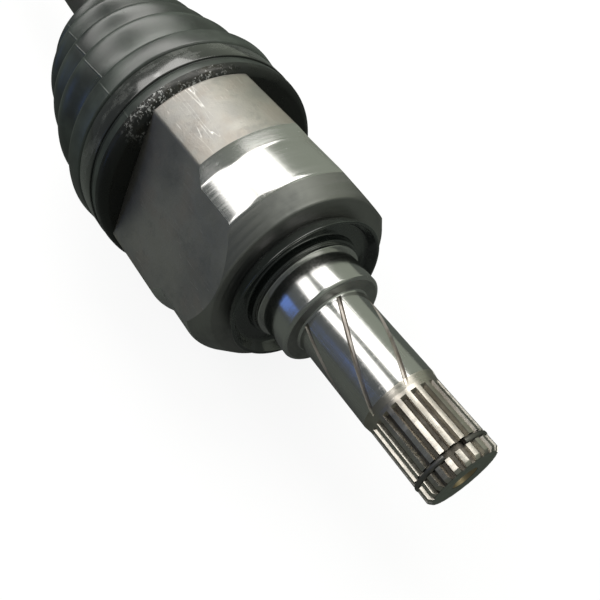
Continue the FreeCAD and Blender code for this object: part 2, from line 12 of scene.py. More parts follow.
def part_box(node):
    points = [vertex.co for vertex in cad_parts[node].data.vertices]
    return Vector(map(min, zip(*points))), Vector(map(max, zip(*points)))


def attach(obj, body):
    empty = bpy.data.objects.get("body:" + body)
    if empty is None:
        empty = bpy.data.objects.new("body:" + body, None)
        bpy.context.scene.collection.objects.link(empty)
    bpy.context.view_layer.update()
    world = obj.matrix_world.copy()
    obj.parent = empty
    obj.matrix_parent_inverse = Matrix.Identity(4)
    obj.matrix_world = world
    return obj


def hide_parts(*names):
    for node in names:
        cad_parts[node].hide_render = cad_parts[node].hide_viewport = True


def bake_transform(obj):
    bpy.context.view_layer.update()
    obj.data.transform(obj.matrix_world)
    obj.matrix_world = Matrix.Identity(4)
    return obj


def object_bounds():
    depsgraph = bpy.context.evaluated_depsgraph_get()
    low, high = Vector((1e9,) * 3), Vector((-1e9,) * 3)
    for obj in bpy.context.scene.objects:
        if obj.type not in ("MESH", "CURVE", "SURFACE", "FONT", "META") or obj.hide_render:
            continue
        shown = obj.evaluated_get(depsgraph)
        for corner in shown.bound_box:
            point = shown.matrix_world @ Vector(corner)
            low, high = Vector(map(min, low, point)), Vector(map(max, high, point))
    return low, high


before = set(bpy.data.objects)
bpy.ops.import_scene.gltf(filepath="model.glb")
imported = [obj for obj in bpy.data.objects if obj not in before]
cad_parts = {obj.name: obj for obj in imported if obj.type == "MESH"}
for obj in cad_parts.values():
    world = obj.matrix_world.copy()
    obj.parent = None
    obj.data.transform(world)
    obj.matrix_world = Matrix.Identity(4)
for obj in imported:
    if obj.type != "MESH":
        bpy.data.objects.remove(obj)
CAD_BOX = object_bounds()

LOG = logging.getLogger("cv_joint")
MM = 0.001
FULL_TURN = 2 * math.pi
X_AXIS = Vector((1, 0, 0))
ORIGIN = Vector((0, 0, 0))
MERGE = 1e-3
ROUND_SEGMENTS = 4
SHARP_STEEL = 22.0
SHARP_BAND = 30.0
SHARP_RUBBER = 35.0
SHARP_WIRE = 40.0
REST_TILT = 4.0
HINGE_X = sum(corner.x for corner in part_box("roller_1")) / 2 / MM

Profile = Sequence[tuple[float, float]]
Triple = tuple[float, float, float]
Colour = tuple[float, float, float, float]
Test = Callable[[Vector], bool]


# --------------------------------------------------------------- the frame
def reach(node: str) -> tuple[Vector, Vector]:
    """Box of a construction node.

    Args:
        node: the node's name.

    Returns:
        Its lowest and highest corner, in millimetres.
    """
    low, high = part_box(node)
    return low / MM, high / MM


def polar(x: float, radius: float, degrees: float) -> Vector:
    """Point round the joint's axis.

    Args:
        x: station along the axis, in millimetres.
        radius: distance from the axis, in millimetres.
        degrees: angle from +Y towards +Z.

    Returns:
        The point, in millimetres.
    """
    turn = math.radians(degrees)
    return Vector((x, radius * math.cos(turn), radius * math.sin(turn)))


@dataclass(frozen=True)
class Layout:
    """Stations and angles that the sub-assemblies share, in millimetres and degrees."""

    tip: float
    mouth: float
    forged_r: float
    seat_face: float
    rest_tilt: float = REST_TILT
    hinge: float = HINGE_X
    lobes: int = 3
    flat_distance: float = 37.0
    leaning_start: float = 17.0
    leaning_length: float = 91.0
    lean_power: float = 1.3

    @classmethod
    def from_frame(cls) -> "Layout":
        """Read the stations from the construction nodes."""
        low, high = reach("tulip_housing")
        return cls(tip=high.x, mouth=low.x, forged_r=high.z, seat_face=reach("deflector_ring")[0].x)

    def flat_angles(self) -> list[float]:
        """Angles of the bell's flats, from +Y towards +Z."""
        return [90.0 + (360.0 * i + 180.0) / self.lobes for i in range(self.lobes)]

    def lobe_angles(self) -> list[float]:
        """Angles of the bell's lobes, from +Y towards +Z."""
        return [90.0 + 360.0 * i / self.lobes for i in range(self.lobes)]

    def on_shaft(self, x: float) -> Vector:
        """Where a station of the straight joint lies on the leaning shaft.

        Args:
            x: station along the straight axis.

        Returns:
            The point on the shaft's own axis.
        """
        lean = math.radians(self.rest_tilt)
        back = x - self.hinge
        return Vector((self.hinge + back * math.cos(lean), -back * math.sin(lean), 0))

    def lean_share(self, x: float) -> float:
        """How far a ring of the boot has swung from the housing's axis to the shaft's, from 0 to 1."""
        run = self.leaning_length - self.leaning_start
        return min(1.0, max(0.0, (self.mouth - self.leaning_start - x) / run)) ** self.lean_power


# ------------------------------------------------------------- shader sheet
class Wire:
    """One shader value, which Python's operators can work with."""

    def __init__(self, sheet: "Graph", socket: bpy.types.NodeSocket | None) -> None:
        """Wrap a socket of a node tree."""
        self.sheet = sheet
        self.socket = socket

    def _math(self, operation: str, *values: "Wire | float") -> "Wire":
        """Add a Math node.

        Args:
            operation: the node's operation.
            values: its inputs in order.

        Returns:
            The result.
        """
        return self.sheet.node("ShaderNodeMath", {"operation": operation}, dict(enumerate(values)))

    def __add__(self, other: "Wire | float") -> "Wire":
        """Sum."""
        return self._math("ADD", self, other)

    __radd__ = __add__

    def __mul__(self, other: "Wire | float") -> "Wire":
        """Product."""
        return self._math("MULTIPLY", self, other)

    __rmul__ = __mul__

    def __sub__(self, other: "Wire | float") -> "Wire":
        """Difference."""
        return self._math("SUBTRACT", self, other)

    def __rsub__(self, other: float) -> "Wire":
        """Difference from a number."""
        return self._math("SUBTRACT", other, self)

    def __abs__(self) -> "Wire":
        """Size without its sign."""
        return self._math("ABSOLUTE", self)

    def root(self) -> "Wire":
        """Square root."""
        return self._math("SQRT", self)

    def angle_to(self, other: "Wire") -> "Wire":
        """Angle of the point (other, self), in radians."""
        return self._math("ARCTAN2", self, other)

    def step(self, low: float, high: float, start: float = 0.0, end: float = 1.0) -> "Wire":
        """Ease from one value to another.

        Args:
            low: where the ease begins.
            high: where it ends.
            start: the value before low.
            end: the value after high.

        Returns:
            The eased value.
        """
        settings = {"interpolation_type": "SMOOTHSTEP"}
        return self.sheet.node("ShaderNodeMapRange", settings, dict(enumerate((self, low, high, start, end))))


class Graph:
    """A node tree, with one method that makes every node."""

    def __init__(self, owner: bpy.types.Material | bpy.types.World, empty: bool = True) -> None:
        """Open the node tree of a material or world, and clear it unless told otherwise."""
        owner.use_nodes = True
        self.tree = owner.node_tree
        if empty:
            self.tree.nodes.clear()

    def node(self, kind: str, settings: dict, inputs: dict, output: int | str = 0) -> Wire:
        """Add a node.

        Args:
            kind: the node's type.
            settings: its properties, set first.
            inputs: values or wires by socket name or number.
            output: the socket that is returned.

        Returns:
            The chosen output, which holds nothing for a node without outputs.
        """
        made = self.tree.nodes.new(kind)
        for key, value in settings.items():
            setattr(made, key, value)
        for key, value in inputs.items():
            if isinstance(value, Wire):
                self.tree.links.new(value.socket, made.inputs[key])
            else:
                made.inputs[key].default_value = value
        return Wire(self, made.outputs[output] if made.outputs else None)

    def axes(self, place: Wire) -> tuple[Wire, Wire, Wire]:
        """Split a place into its three axes."""
        return tuple(self.node("ShaderNodeSeparateXYZ", {}, {0: place}, axis) for axis in "XYZ")


class Sheet(Graph):
    """A material with a Principled surface, and the shader pieces that finishes share."""

    def __init__(self, name: str) -> None:
        """Make the material."""
        self.material = bpy.data.materials.new(name)
        super().__init__(self.material, empty=False)
        self.surface = self.tree.nodes["Principled BSDF"]
        self.place = self.node("ShaderNodeTexCoord", {}, {}, "Object")

    def vector(self, x: Wire | float, y: Wire | float, z: Wire | float) -> Wire:
        """Join three values into a place."""
        return self.node("ShaderNodeCombineXYZ", {}, dict(enumerate((x, y, z))))

    def turned(self, place: Wire, centre: Vector, degrees: float) -> Wire:
        """Turn a place about the Z axis through a centre.

        Args:
            place: the place.
            centre: the centre, in metres.
            degrees: the turn.

        Returns:
            The place in the turned frame.
        """
        angle = math.radians(degrees)
        shift = centre - Matrix.Rotation(angle, 3, "Z") @ centre
        inputs = {"Vector": place, "Location": shift, "Rotation": (0, 0, angle)}
        return self.node("ShaderNodeMapping", {}, inputs)

    def noise(self, place: Wire, scale: float, detail: float = 3.0, roughness: float = 0.5) -> Wire:
        """Cloudy noise from 0 to 1."""
        inputs = {"Vector": place, "Scale": scale, "Detail": detail, "Roughness": roughness}
        return self.node("ShaderNodeTexNoise", {}, inputs, "Fac")

    def stretched(self, place: Wire, scale: Triple, twist: Triple) -> Wire:
        """Scale a place unevenly after turning it."""
        return self.node("ShaderNodeMapping", {}, {"Vector": place, "Rotation": twist, "Scale": scale})

    def cells(self, place: Wire, scale: float) -> Wire:
        """Distance to the nearest of scattered points."""
        return self.node("ShaderNodeTexVoronoi", {}, {"Vector": place, "Scale": scale}, "Distance")

    def mix(self, share: Wire | float, first: object, second: object) -> Wire:
        """Blend two colours.

        Args:
            share: how much of the second shows.
            first: a colour or a wire.
            second: a colour or a wire.

        Returns:
            The blended colour.
        """
        return self.node("ShaderNodeMix", {"data_type": "RGBA"}, {0: share, 6: first, 7: second}, 2)

    def bump(self, height: Wire, depth: float, below: Wire | None = None) -> Wire:
        """Raise or sink the surface.

        Args:
            height: the height, from 0 to 1.
            depth: what 1 stands for, in millimetres.
            below: a normal to build on.

        Returns:
            The new normal.
        """
        inputs = {"Strength": 1.0, "Distance": depth * MM, "Height": height}
        if below is not None:
            inputs["Normal"] = below
        return self.node("ShaderNodeBump", {}, inputs)

    def dress(self, **values: object) -> bpy.types.Material:
        """Give the surface its values.

        Args:
            values: socket names, with spaces as underscores, and their values or wires.

        Returns:
            The finished material.
        """
        for key, value in values.items():
            socket = self.surface.inputs[key.replace("_", " ")]
            if isinstance(value, Wire):
                self.tree.links.new(value.socket, socket)
            else:
                socket.default_value = value
        return self.material


def grey(level: float, warmth: float = 0.0) -> Colour:
    """Grey colour that leans warm or, below zero, green and cool."""
    return (level * (1 + warmth), level, level * (1 - warmth), 1.0)


# ---------------------------------------------------------------- finishes
@dataclass(frozen=True)
class LatheSteel:
    """Machined steel with fine rings round its axis, faint stains and light scratches."""

    name: str
    bright: Colour
    stain: Colour
    roughness: float
    ring_pitch: float
    ring_depth: float
    stain_share: float = 0.5
    scratch_share: float = 0.35
    metallic: float = 1.0
    lean: float = 0.0
    hinge: float = 0.0

    def build(self) -> bpy.types.Material:
        """Make the material."""
        sheet = Sheet(self.name)
        place = sheet.place
        if self.lean:
            place = sheet.turned(place, Vector((self.hinge * MM, 0, 0)), self.lean)
        x, y, z = sheet.axes(place)
        radius = (y * y + z * z).root()
        angle = z.angle_to(y)
        pitch = 1.0 / (self.ring_pitch * MM)
        rings = sheet.noise(sheet.vector(x * pitch, radius * pitch, angle * 0.35), 1.0, 2.0, 0.65)
        wide = sheet.vector(x * pitch * 0.22, radius * pitch * 0.22, angle * 0.6)
        coarse = sheet.noise(wide, 1.0, 2.0, 0.5)
        cloud = sheet.noise(place, 38.0, 4.0, 0.62)
        speck = sheet.noise(place, 420.0, 2.0, 0.7)
        stains = cloud.step(0.46, 0.72) * self.stain_share
        colour = sheet.mix(stains, self.bright, self.stain)
        colour = sheet.mix(rings.step(0.35, 0.75) * 0.25, colour, grey(0.92 * self.bright[1]))
        lines = sheet.noise(sheet.stretched(place, (60, 900, 900), (0.3, 0.2, 0.5)), 1.0, 1.0)
        marks = (1 - abs(lines - 0.5).step(0.0, 0.012)) * cloud.step(0.5, 0.6)
        rough = self.roughness + coarse.step(0.3, 0.8) * self.roughness * 0.7 + stains * 0.1
        rough = rough + speck.step(0.62, 0.75) * 0.05 + marks * 0.15
        normal = sheet.bump(rings + coarse * 1.5, self.ring_depth)
        normal = sheet.bump(1 - marks * self.scratch_share, 0.01, normal)
        return sheet.dress(Base_Color=colour, Metallic=self.metallic, Roughness=rough, Normal=normal)


@dataclass(frozen=True)
class ForgedSteel:
    """Shot-blasted forging skin: mottled, pitted, with pale handling scratches."""

    name: str
    base: Colour
    shade: Colour
    rust: Colour
    roughness: float
    metallic: float

    def build(self) -> bpy.types.Material:
        """Make the material."""
        sheet = Sheet(self.name)
        place = sheet.place
        cloud = sheet.noise(place, 24.0, 5.0, 0.6)
        blotch = sheet.noise(place, 85.0, 3.0, 0.55)
        grain = sheet.noise(place, 1500.0, 2.0, 0.6)
        pits = sheet.cells(place, 620.0)
        stain = sheet.noise(place, 70.0, 6.0, 0.78)
        colour = sheet.mix(cloud.step(0.38, 0.60) * 0.75, self.base, self.shade)
        colour = sheet.mix(blotch.step(0.48, 0.66) * 0.35, colour, self.rust)
        colour = sheet.mix(stain.step(0.52, 0.68) * 0.3, colour, grey(0.2, -0.02))
        marks = self._scratches(sheet, place, (0.2, 0.1, 0.5), cloud)
        crossing = self._scratches(sheet, place, (0.1, -0.3, -0.75), blotch)
        scratch = marks + crossing * 0.7
        colour = sheet.mix(scratch * 0.5, colour, grey(0.9, 0.02))
        rough = self.roughness + grain * 0.08 + blotch.step(0.4, 0.7) * 0.07 - scratch * 0.15
        normal = sheet.bump(grain * 0.6 + pits.step(0.0, 0.35) * 0.4, 0.05)
        normal = sheet.bump(blotch + stain * 0.6, 0.22, normal)
        return sheet.dress(Base_Color=colour, Metallic=self.metallic, Roughness=rough, Normal=normal)

    def _scratches(self, sheet: Sheet, place: Wire, twist: Triple, patch: Wire) -> Wire:
        """Thin broken lines along one direction."""
        lines = sheet.noise(sheet.stretched(place, (22, 420, 420), twist), 1.0, 1.0)
        return (1 - abs(lines - 0.5).step(0.0, 0.009)) * patch.step(0.52, 0.6)


@dataclass(frozen=True)
class Enamel:
    """Glossy black coat over steel, with fine dust and soft waviness."""

    name: str
    colour: Colour
    worn: Colour
    roughness: float
    coat: float = 0.5

    def build(self) -> bpy.types.Material:
        """Make the material."""
        sheet = Sheet(self.name)
        place = sheet.place
        x, y, z = sheet.axes(place)
        radius = (y * y + z * z).root()
        wave = sheet.noise(place, 120.0, 2.0, 0.5)
        dust = sheet.noise(place, 1900.0, 2.0, 0.7)
        rings = sheet.noise(sheet.vector(x * 2600.0, radius * 2600.0, 0.0), 1.0, 1.0)
        smear = sheet.noise(sheet.vector(x * 220.0, radius * 220.0, z.angle_to(y) * 4.0), 1.0, 3.0, 0.6)
        rub = smear.step(0.5, 0.66) * (0.35 + dust.step(0.45, 0.6) * 0.65)
        colour = sheet.mix(rub * 0.6, self.colour, self.worn)
        rough = self.roughness + wave.step(0.4, 0.8) * 0.12 + rub * 0.25
        normal = sheet.bump(wave + rings * 0.25, 0.02)
        return sheet.dress(
            Base_Color=colour, Metallic=0.0, Roughness=rough, Normal=normal, Specular_IOR_Level=1.0,
            Coat_Weight=self.coat, Coat_Roughness=0.08,
        )


@dataclass(frozen=True)
class Rubber:
    """Moulded boot rubber: a waxy bloom, dust, fine texture and two parting lines."""

    name: str
    colour: Colour
    bloom: Colour
    roughness: float
    parting: float

    def build(self) -> bpy.types.Material:
        """Make the material."""
        sheet = Sheet(self.name)
        place = sheet.place
        _, y, z = sheet.axes(place)
        turn = math.radians(self.parting)
        off_line = abs(y * math.sin(turn) - z * math.cos(turn))
        seam = 1 - off_line.step(0.00012, 0.00045)
        cloud = sheet.noise(place, 45.0, 4.0, 0.6)
        smear = sheet.noise(sheet.stretched(place, (160, 30, 30), (0, 0, 0.1)), 1.0, 3.0)
        grain = sheet.noise(place, 2400.0, 2.0, 0.6)
        share = cloud.step(0.35, 0.7) * 0.55 + smear.step(0.5, 0.75) * 0.3
        colour = sheet.mix(share, self.colour, self.bloom)
        colour = sheet.mix(seam * 0.2, colour, self.bloom)
        rough = self.roughness + cloud.step(0.3, 0.75) * 0.14 - smear.step(0.55, 0.8) * 0.1
        normal = sheet.bump(grain, 0.012)
        normal = sheet.bump(seam, 0.06, normal)
        return sheet.dress(
            Base_Color=colour, Roughness=rough, Normal=normal, Specular_IOR_Level=1.0, IOR=1.6)


@dataclass(frozen=True)
class GreasyLip:
    """Boot lip with brown-black grease on its top side, whose glossy beads carry painted near-white glints.
    """

    name: str
    rubber: Colour
    grease: Colour

    def build(self) -> bpy.types.Material:
        """Make the material."""
        sheet = Sheet(self.name)
        place = sheet.place
        _, y, z = sheet.axes(place)
        angle = z.angle_to(y)
        upper = angle.step(1.2, 1.5) * (1 - angle.step(1.95, 2.35))
        film = sheet.noise(place, 160.0, 4.0, 0.65)
        beads = sheet.noise(place, 900.0, 2.0, 0.7).step(0.52, 0.62)
        clumps = sheet.noise(place, 190.0, 3.0, 0.7).step(0.44, 0.56)
        wet_beads_and_glints = beads * clumps * upper
        colour = sheet.mix(film.step(0.4, 0.65) * upper, self.rubber, self.grease)
        # painted highlight: the grease beads on the top side get a near-white colour that stands in for
        # glints
        colour = sheet.mix(wet_beads_and_glints * 0.75, colour, grey(0.85, 0.01))
        rough = 0.42 - film.step(0.45, 0.65) * 0.2 - wet_beads_and_glints * 0.12
        normal = sheet.bump(film, 0.12)
        normal = sheet.bump(wet_beads_and_glints, 0.22, normal)
        return sheet.dress(Base_Color=colour, Roughness=rough, Normal=normal, Coat_Weight=wet_beads_and_glints * 0.8)


class Finishes(Enum):
    """Every finish on the joint."""

    FORGED = ForgedSteel(
        "forged_skin", (0.53, 0.505, 0.46, 1), (0.34, 0.33, 0.325, 1), (0.45, 0.38, 0.325, 1), 0.36, 0.92)
    TURNED = LatheSteel(
        "turned_band", grey(0.68, 0.01), grey(0.5, 0.06), 0.15, 0.16, 0.005, 0.5)
    SHOULDER = LatheSteel(
        "turned_shoulder", grey(0.40, 0.02), grey(0.26, 0.0), 0.31, 0.25, 0.008, 0.9)
    GROUND = LatheSteel(
        "ground_journal", grey(0.68, 0.01), grey(0.50, 0.06), 0.13, 0.10, 0.004, 0.4)
    TIP_FACE = LatheSteel(
        "turned_tip_face", (0.36, 0.38, 0.33, 1), grey(0.3, 0.04), 0.34, 0.30, 0.008, 0.6)
    CENTRE = LatheSteel(
        "drilled_centre", (0.55, 0.42, 0.25, 1), grey(0.2, 0.1), 0.28, 0.2, 0.01, 0.5)
    GROOVE = LatheSteel(
        "milled_oil_groove", (0.42, 0.385, 0.35, 1), (0.22, 0.19, 0.17, 1), 0.30, 0.4, 0.006, 0.6)
    SPLINE = LatheSteel(
        "rolled_spline", (0.66, 0.62, 0.56, 1), (0.30, 0.26, 0.22, 1), 0.22, 0.35, 0.006, 0.7)
    # painted shade: a dark colour on the lower part of the tooth spaces stands in for the shade down between
    # the teeth
    SPLINE_ROOT = LatheSteel(
        "spline_root_painted_shade", (0.13, 0.118, 0.10, 1), (0.06, 0.05, 0.04, 1), 0.34, 0.35, 0.006, 0.8)
    SHAFT = LatheSteel(
        "induction_hardened_shaft", (0.20, 0.195, 0.19, 1), (0.12, 0.10, 0.085, 1), 0.36, 0.45, 0.010, 0.8,
        lean=REST_TILT, hinge=HINGE_X)
    SHAFT_SPLINE = LatheSteel(
        "oiled_shaft_spline", (0.44, 0.43, 0.41, 1), (0.25, 0.22, 0.19, 1), 0.26, 0.3, 0.006, 0.6,
        lean=REST_TILT, hinge=HINGE_X)
    SPIDER = LatheSteel(
        "case_hardened_spider", (0.34, 0.34, 0.35, 1), (0.22, 0.20, 0.18, 1), 0.28, 0.3, 0.006, 0.6)
    BEARING = LatheSteel(
        "ground_bearing_steel", grey(0.70, 0.01), grey(0.55, 0.04), 0.12, 0.12, 0.002, 0.3)
    SPRING = LatheSteel(
        "spring_wire", (0.26, 0.25, 0.24, 1), (0.16, 0.14, 0.12, 1), 0.30, 0.3, 0.004, 0.5)
    DEFLECTOR = Enamel("deflector_black", (0.010, 0.014, 0.013, 1), (0.035, 0.042, 0.038, 1), 0.15, 1.0)
    BAND = Enamel("clamp_black", (0.014, 0.015, 0.014, 1), (0.15, 0.155, 0.145, 1), 0.18, 1.0)
    BOOT = Rubber("boot_rubber", (0.016, 0.021, 0.019, 1), (0.095, 0.118, 0.100, 1), 0.29, 124.0)
    LIP = GreasyLip("greasy_lip", (0.010, 0.011, 0.010, 1), (0.040, 0.036, 0.028, 1))


class Paintbox:
    """Builds each finish once and hands it out."""

    def __init__(self) -> None:
        """Start with nothing mixed."""
        self.mixed: dict[Finishes, bpy.types.Material] = {}

    def get(self, finish: Finishes) -> bpy.types.Material:
        """The material of a finish."""
        if finish not in self.mixed:
            self.mixed[finish] = finish.value.build()
        return self.mixed[finish]


PAINTS = Paintbox()


# ------------------------------------------------------------- mesh workshop
def nothing_selected() -> None:
    """Leave edit mode and deselect everything."""
    if bpy.context.object and bpy.context.object.mode != "OBJECT":
        bpy.ops.object.mode_set(mode="OBJECT")
    bpy.ops.object.select_all(action="DESELECT")


def choose(piece: bpy.types.Object) -> None:
    """Make a piece the only selected one, in object mode."""
    nothing_selected()
    piece.select_set(True)
    bpy.context.view_layer.objects.active = piece


def edit(piece: bpy.types.Object) -> None:
    """Make a piece the only selected one and enter edit mode on it."""
    choose(piece)
    bpy.ops.object.mode_set(mode="EDIT")


def select_mesh() -> None:
    """Select all of the mesh that is being edited."""
    bpy.ops.mesh.select_all(action="SELECT")


def merge_doubles() -> None:
    """Join the points that lie on each other, in edit mode."""
    select_mesh()
    bpy.ops.mesh.remove_doubles(threshold=MERGE * MM)


def pick_vertices(piece: bpy.types.Object, test: Test) -> None:
    """Select the vertices that pass a test, in edit mode.

    Args:
        piece: the piece in edit mode.
        test: takes a place in millimetres.
    """
    bpy.ops.mesh.select_mode(type="VERT")
    bpy.ops.mesh.select_all(action="DESELECT")
    mesh = bmesh.from_edit_mesh(piece.data)
    for vertex in mesh.verts:
        if test(vertex.co / MM):
            vertex.select_set(True)
    mesh.select_flush_mode()
    bmesh.update_edit_mesh(piece.data)


def near(places: Sequence[Vector], distance: float) -> Test:
    """Test of whether a point lies at one of some places.

    Args:
        places: the places, in millimetres.
        distance: how far off it may be, in millimetres.

    Returns:
        The test.
    """
    return lambda p: min((p - place).length for place in places) < distance


def start_wire(name: str) -> bpy.types.Object:
    """New piece that is one selected vertex at the origin, in edit mode."""
    nothing_selected()
    bpy.ops.mesh.primitive_plane_add(size=MM, location=(0, 0, 0))
    piece = bpy.context.object
    piece.name = name
    piece.data.name = name
    bpy.ops.object.mode_set(mode="EDIT")
    select_mesh()
    bpy.ops.mesh.merge(type="CENTER")
    return piece


def draw(name: str, points: Sequence[Vector], closed: bool = False) -> bpy.types.Object:
    """Draw a line of edges by extruding one vertex from point to point.

    Args:
        name: the new piece's name.
        points: the line's points, in millimetres.
        closed: whether the last point joins the first.

    Returns:
        The piece, in edit mode.
    """
    piece = start_wire(name)
    bpy.ops.transform.translate(value=points[0] * MM)
    for before, after in zip(points, points[1:]):
        move = {"value": (after - before) * MM}
        bpy.ops.mesh.extrude_vertices_move(TRANSFORM_OT_translate=move)
    if closed:
        pick_vertices(piece, near((points[0], points[-1]), MERGE / 10))
        bpy.ops.mesh.edge_face_add()
    return piece


def round_corners(piece: bpy.types.Object, corners: Sequence[Vector], size: float, segments: int) -> None:
    """Round some corners of a drawn line.

    Args:
        piece: the piece in edit mode.
        corners: where the corners are, in millimetres.
        size: how far the round reaches along each edge.
        segments: edges in each round.
    """
    pick_vertices(piece, near(corners, MERGE))
    bpy.ops.mesh.bevel(affect="VERTICES", offset=size * MM, offset_type="OFFSET", segments=segments)


def clean() -> None:
    """Merge doubles and turn every face outwards, in edit mode."""
    merge_doubles()
    bpy.ops.mesh.normals_make_consistent(inside=False)


def lathe(name: str, outline: Profile, steps: int, rounds: dict[float, Sequence[int]] | None = None,
          closed: bool = False) -> bpy.types.Object:
    """Turn an outline about the joint's axis.

    Args:
        name: the new piece's name.
        outline: (x, radius) points, in millimetres.
        steps: facets in a full turn.
        rounds: corner numbers by the size of their round.
        closed: whether the outline is a ring that stays off the axis.

    Returns:
        The piece, in edit mode.
    """
    points = [Vector((x, 0, r)) for x, r in outline]
    piece = draw(name, points, closed)
    for size, corners in (rounds or {}).items():
        round_corners(piece, [points[i] for i in corners], size, ROUND_SEGMENTS)
    select_mesh()
    bpy.ops.mesh.spin(steps=steps, angle=FULL_TURN, center=ORIGIN, axis=X_AXIS)
    clean()
    return piece


def fill() -> None:
    """Close the drawn outline with a face, and keep all of it selected."""
    select_mesh()
    bpy.ops.mesh.edge_face_add()
    select_mesh()


def extrude(length: float) -> None:
    """Extrude what is selected along X, by a length in millimetres."""
    bpy.ops.mesh.extrude_region_move(TRANSFORM_OT_translate={"value": (length * MM, 0, 0)})


def prism(name: str, outline: Sequence[Vector], length: float) -> bpy.types.Object:
    """Extrude a closed outline along X.

    Args:
        name: the new piece's name.
        outline: the outline's points in one plane, in millimetres.
        length: how far it goes, in millimetres.

    Returns:
        The piece, in edit mode.
    """
    piece = draw(name, outline, True)
    fill()
    extrude(length)
    clean()
    return piece


def repeat_round(count: int) -> None:
    """Copy the piece in edit mode round the joint's axis, and leave edit mode.

    Args:
        count: how many there are in the end.
    """
    select_mesh()
    bpy.ops.mesh.spin(steps=count, angle=FULL_TURN, center=ORIGIN, axis=X_AXIS, dupli=True)
    clean()
    nothing_selected()


def turn_mesh(piece: bpy.types.Object, degrees: float, axis: str = "X", centre: Vector = ORIGIN) -> None:
    """Turn all of a piece in edit mode.

    Args:
        piece: the piece in edit mode.
        degrees: the turn.
        axis: the axis's letter.
        centre: a point on the axis, in metres.
    """
    mesh = bmesh.from_edit_mesh(piece.data)
    swing = Matrix.Rotation(math.radians(degrees), 4, axis)
    bmesh.ops.rotate(mesh, verts=mesh.verts, cent=centre, matrix=swing)
    bmesh.update_edit_mesh(piece.data)


def apply_boolean(piece: bpy.types.Object, tool: bpy.types.Object, operation: str = "DIFFERENCE") -> None:
    """Combine a piece with a tool, which is used up.

    Args:
        piece: the piece that stays.
        tool: the piece that is taken away.
        operation: UNION, DIFFERENCE or INTERSECT.
    """
    choose(piece)
    bpy.ops.object.modifier_add(type="BOOLEAN")
    modifier = piece.modifiers[-1]
    modifier.operation = operation
    modifier.solver = "EXACT"
    modifier.object = tool
    bpy.ops.object.modifier_apply(modifier=modifier.name)
    nothing_selected()
    tool.select_set(True)
    bpy.ops.object.delete()


def paint(piece: bpy.types.Object, *coats: tuple[Finishes, Test | None]) -> None:
    """Give a piece its finishes, each on the faces that pass its test.

    Args:
        piece: the piece.
        coats: a finish and a test of a face's middle in millimetres; the first covers everything.
    """
    nothing_selected()
    piece.data.materials.clear()
    for number, (finish, test) in enumerate(coats):
        piece.data.materials.append(PAINTS.get(finish))
        for face in piece.data.polygons:
            if test is None or test(face.center / MM):
                face.material_index = number


def finish_piece(piece: bpy.types.Object, sharp: float) -> bpy.types.Object:
    """Shade a piece smooth up to an angle.

    Args:
        piece: the piece.
        sharp: the angle from which an edge stays sharp, in degrees.

    Returns:
        The piece.
    """
    choose(piece)
    bpy.ops.object.shade_smooth_by_angle(angle=math.radians(sharp))
    LOG.info("made %s with %d faces", piece.name, len(piece.data.polygons))
    return piece


def lean(piece: bpy.types.Object, layout: Layout) -> None:
    """Swing a piece from the housing's axis to the shaft's."""
    edit(piece)
    turn_mesh(piece, -layout.rest_tilt, "Z", Vector((layout.hinge * MM, 0, 0)))


# ------------------------------------------------------------------ housing
@dataclass
class SplineTeeth:
    """Tooth spaces of one spline, cut from beyond its tip to a ramp at its far end."""

    tip_r: float
    depth: float
    teeth: int
    start: float
    end: float
    runout: float = 1.6
    root_share: float = 0.14
    clear_share: float = 0.37
    clearance: float = 1.0

    def cutter(self, name: str) -> bpy.types.Object:
        """Ring of cutters, one for each space.

        Returns:
            The cutters as one piece, in object mode.
        """
        root, clear = self.tip_r - self.depth, self.tip_r + self.clearance
        pitch = FULL_TURN / self.teeth
        root_half, clear_half = pitch * self.root_share, pitch * self.clear_share
        corners = ((root, -root_half), (root, root_half), (clear, clear_half), (clear, -clear_half))
        outline = [Vector((self.start, r * math.sin(half), r * math.cos(half))) for r, half in corners]
        piece = draw(name, outline, True)
        fill()
        extrude(self.end - self.start)
        pick_vertices(piece, lambda p: abs(p.x - self.end) < MERGE and math.hypot(p.y, p.z) < root + 0.1)
        inward = math.copysign(self.runout, self.start - self.end)
        bpy.ops.transform.translate(value=(inward * MM, 0, 0))
        clean()
        repeat_round(self.teeth)
        return piece


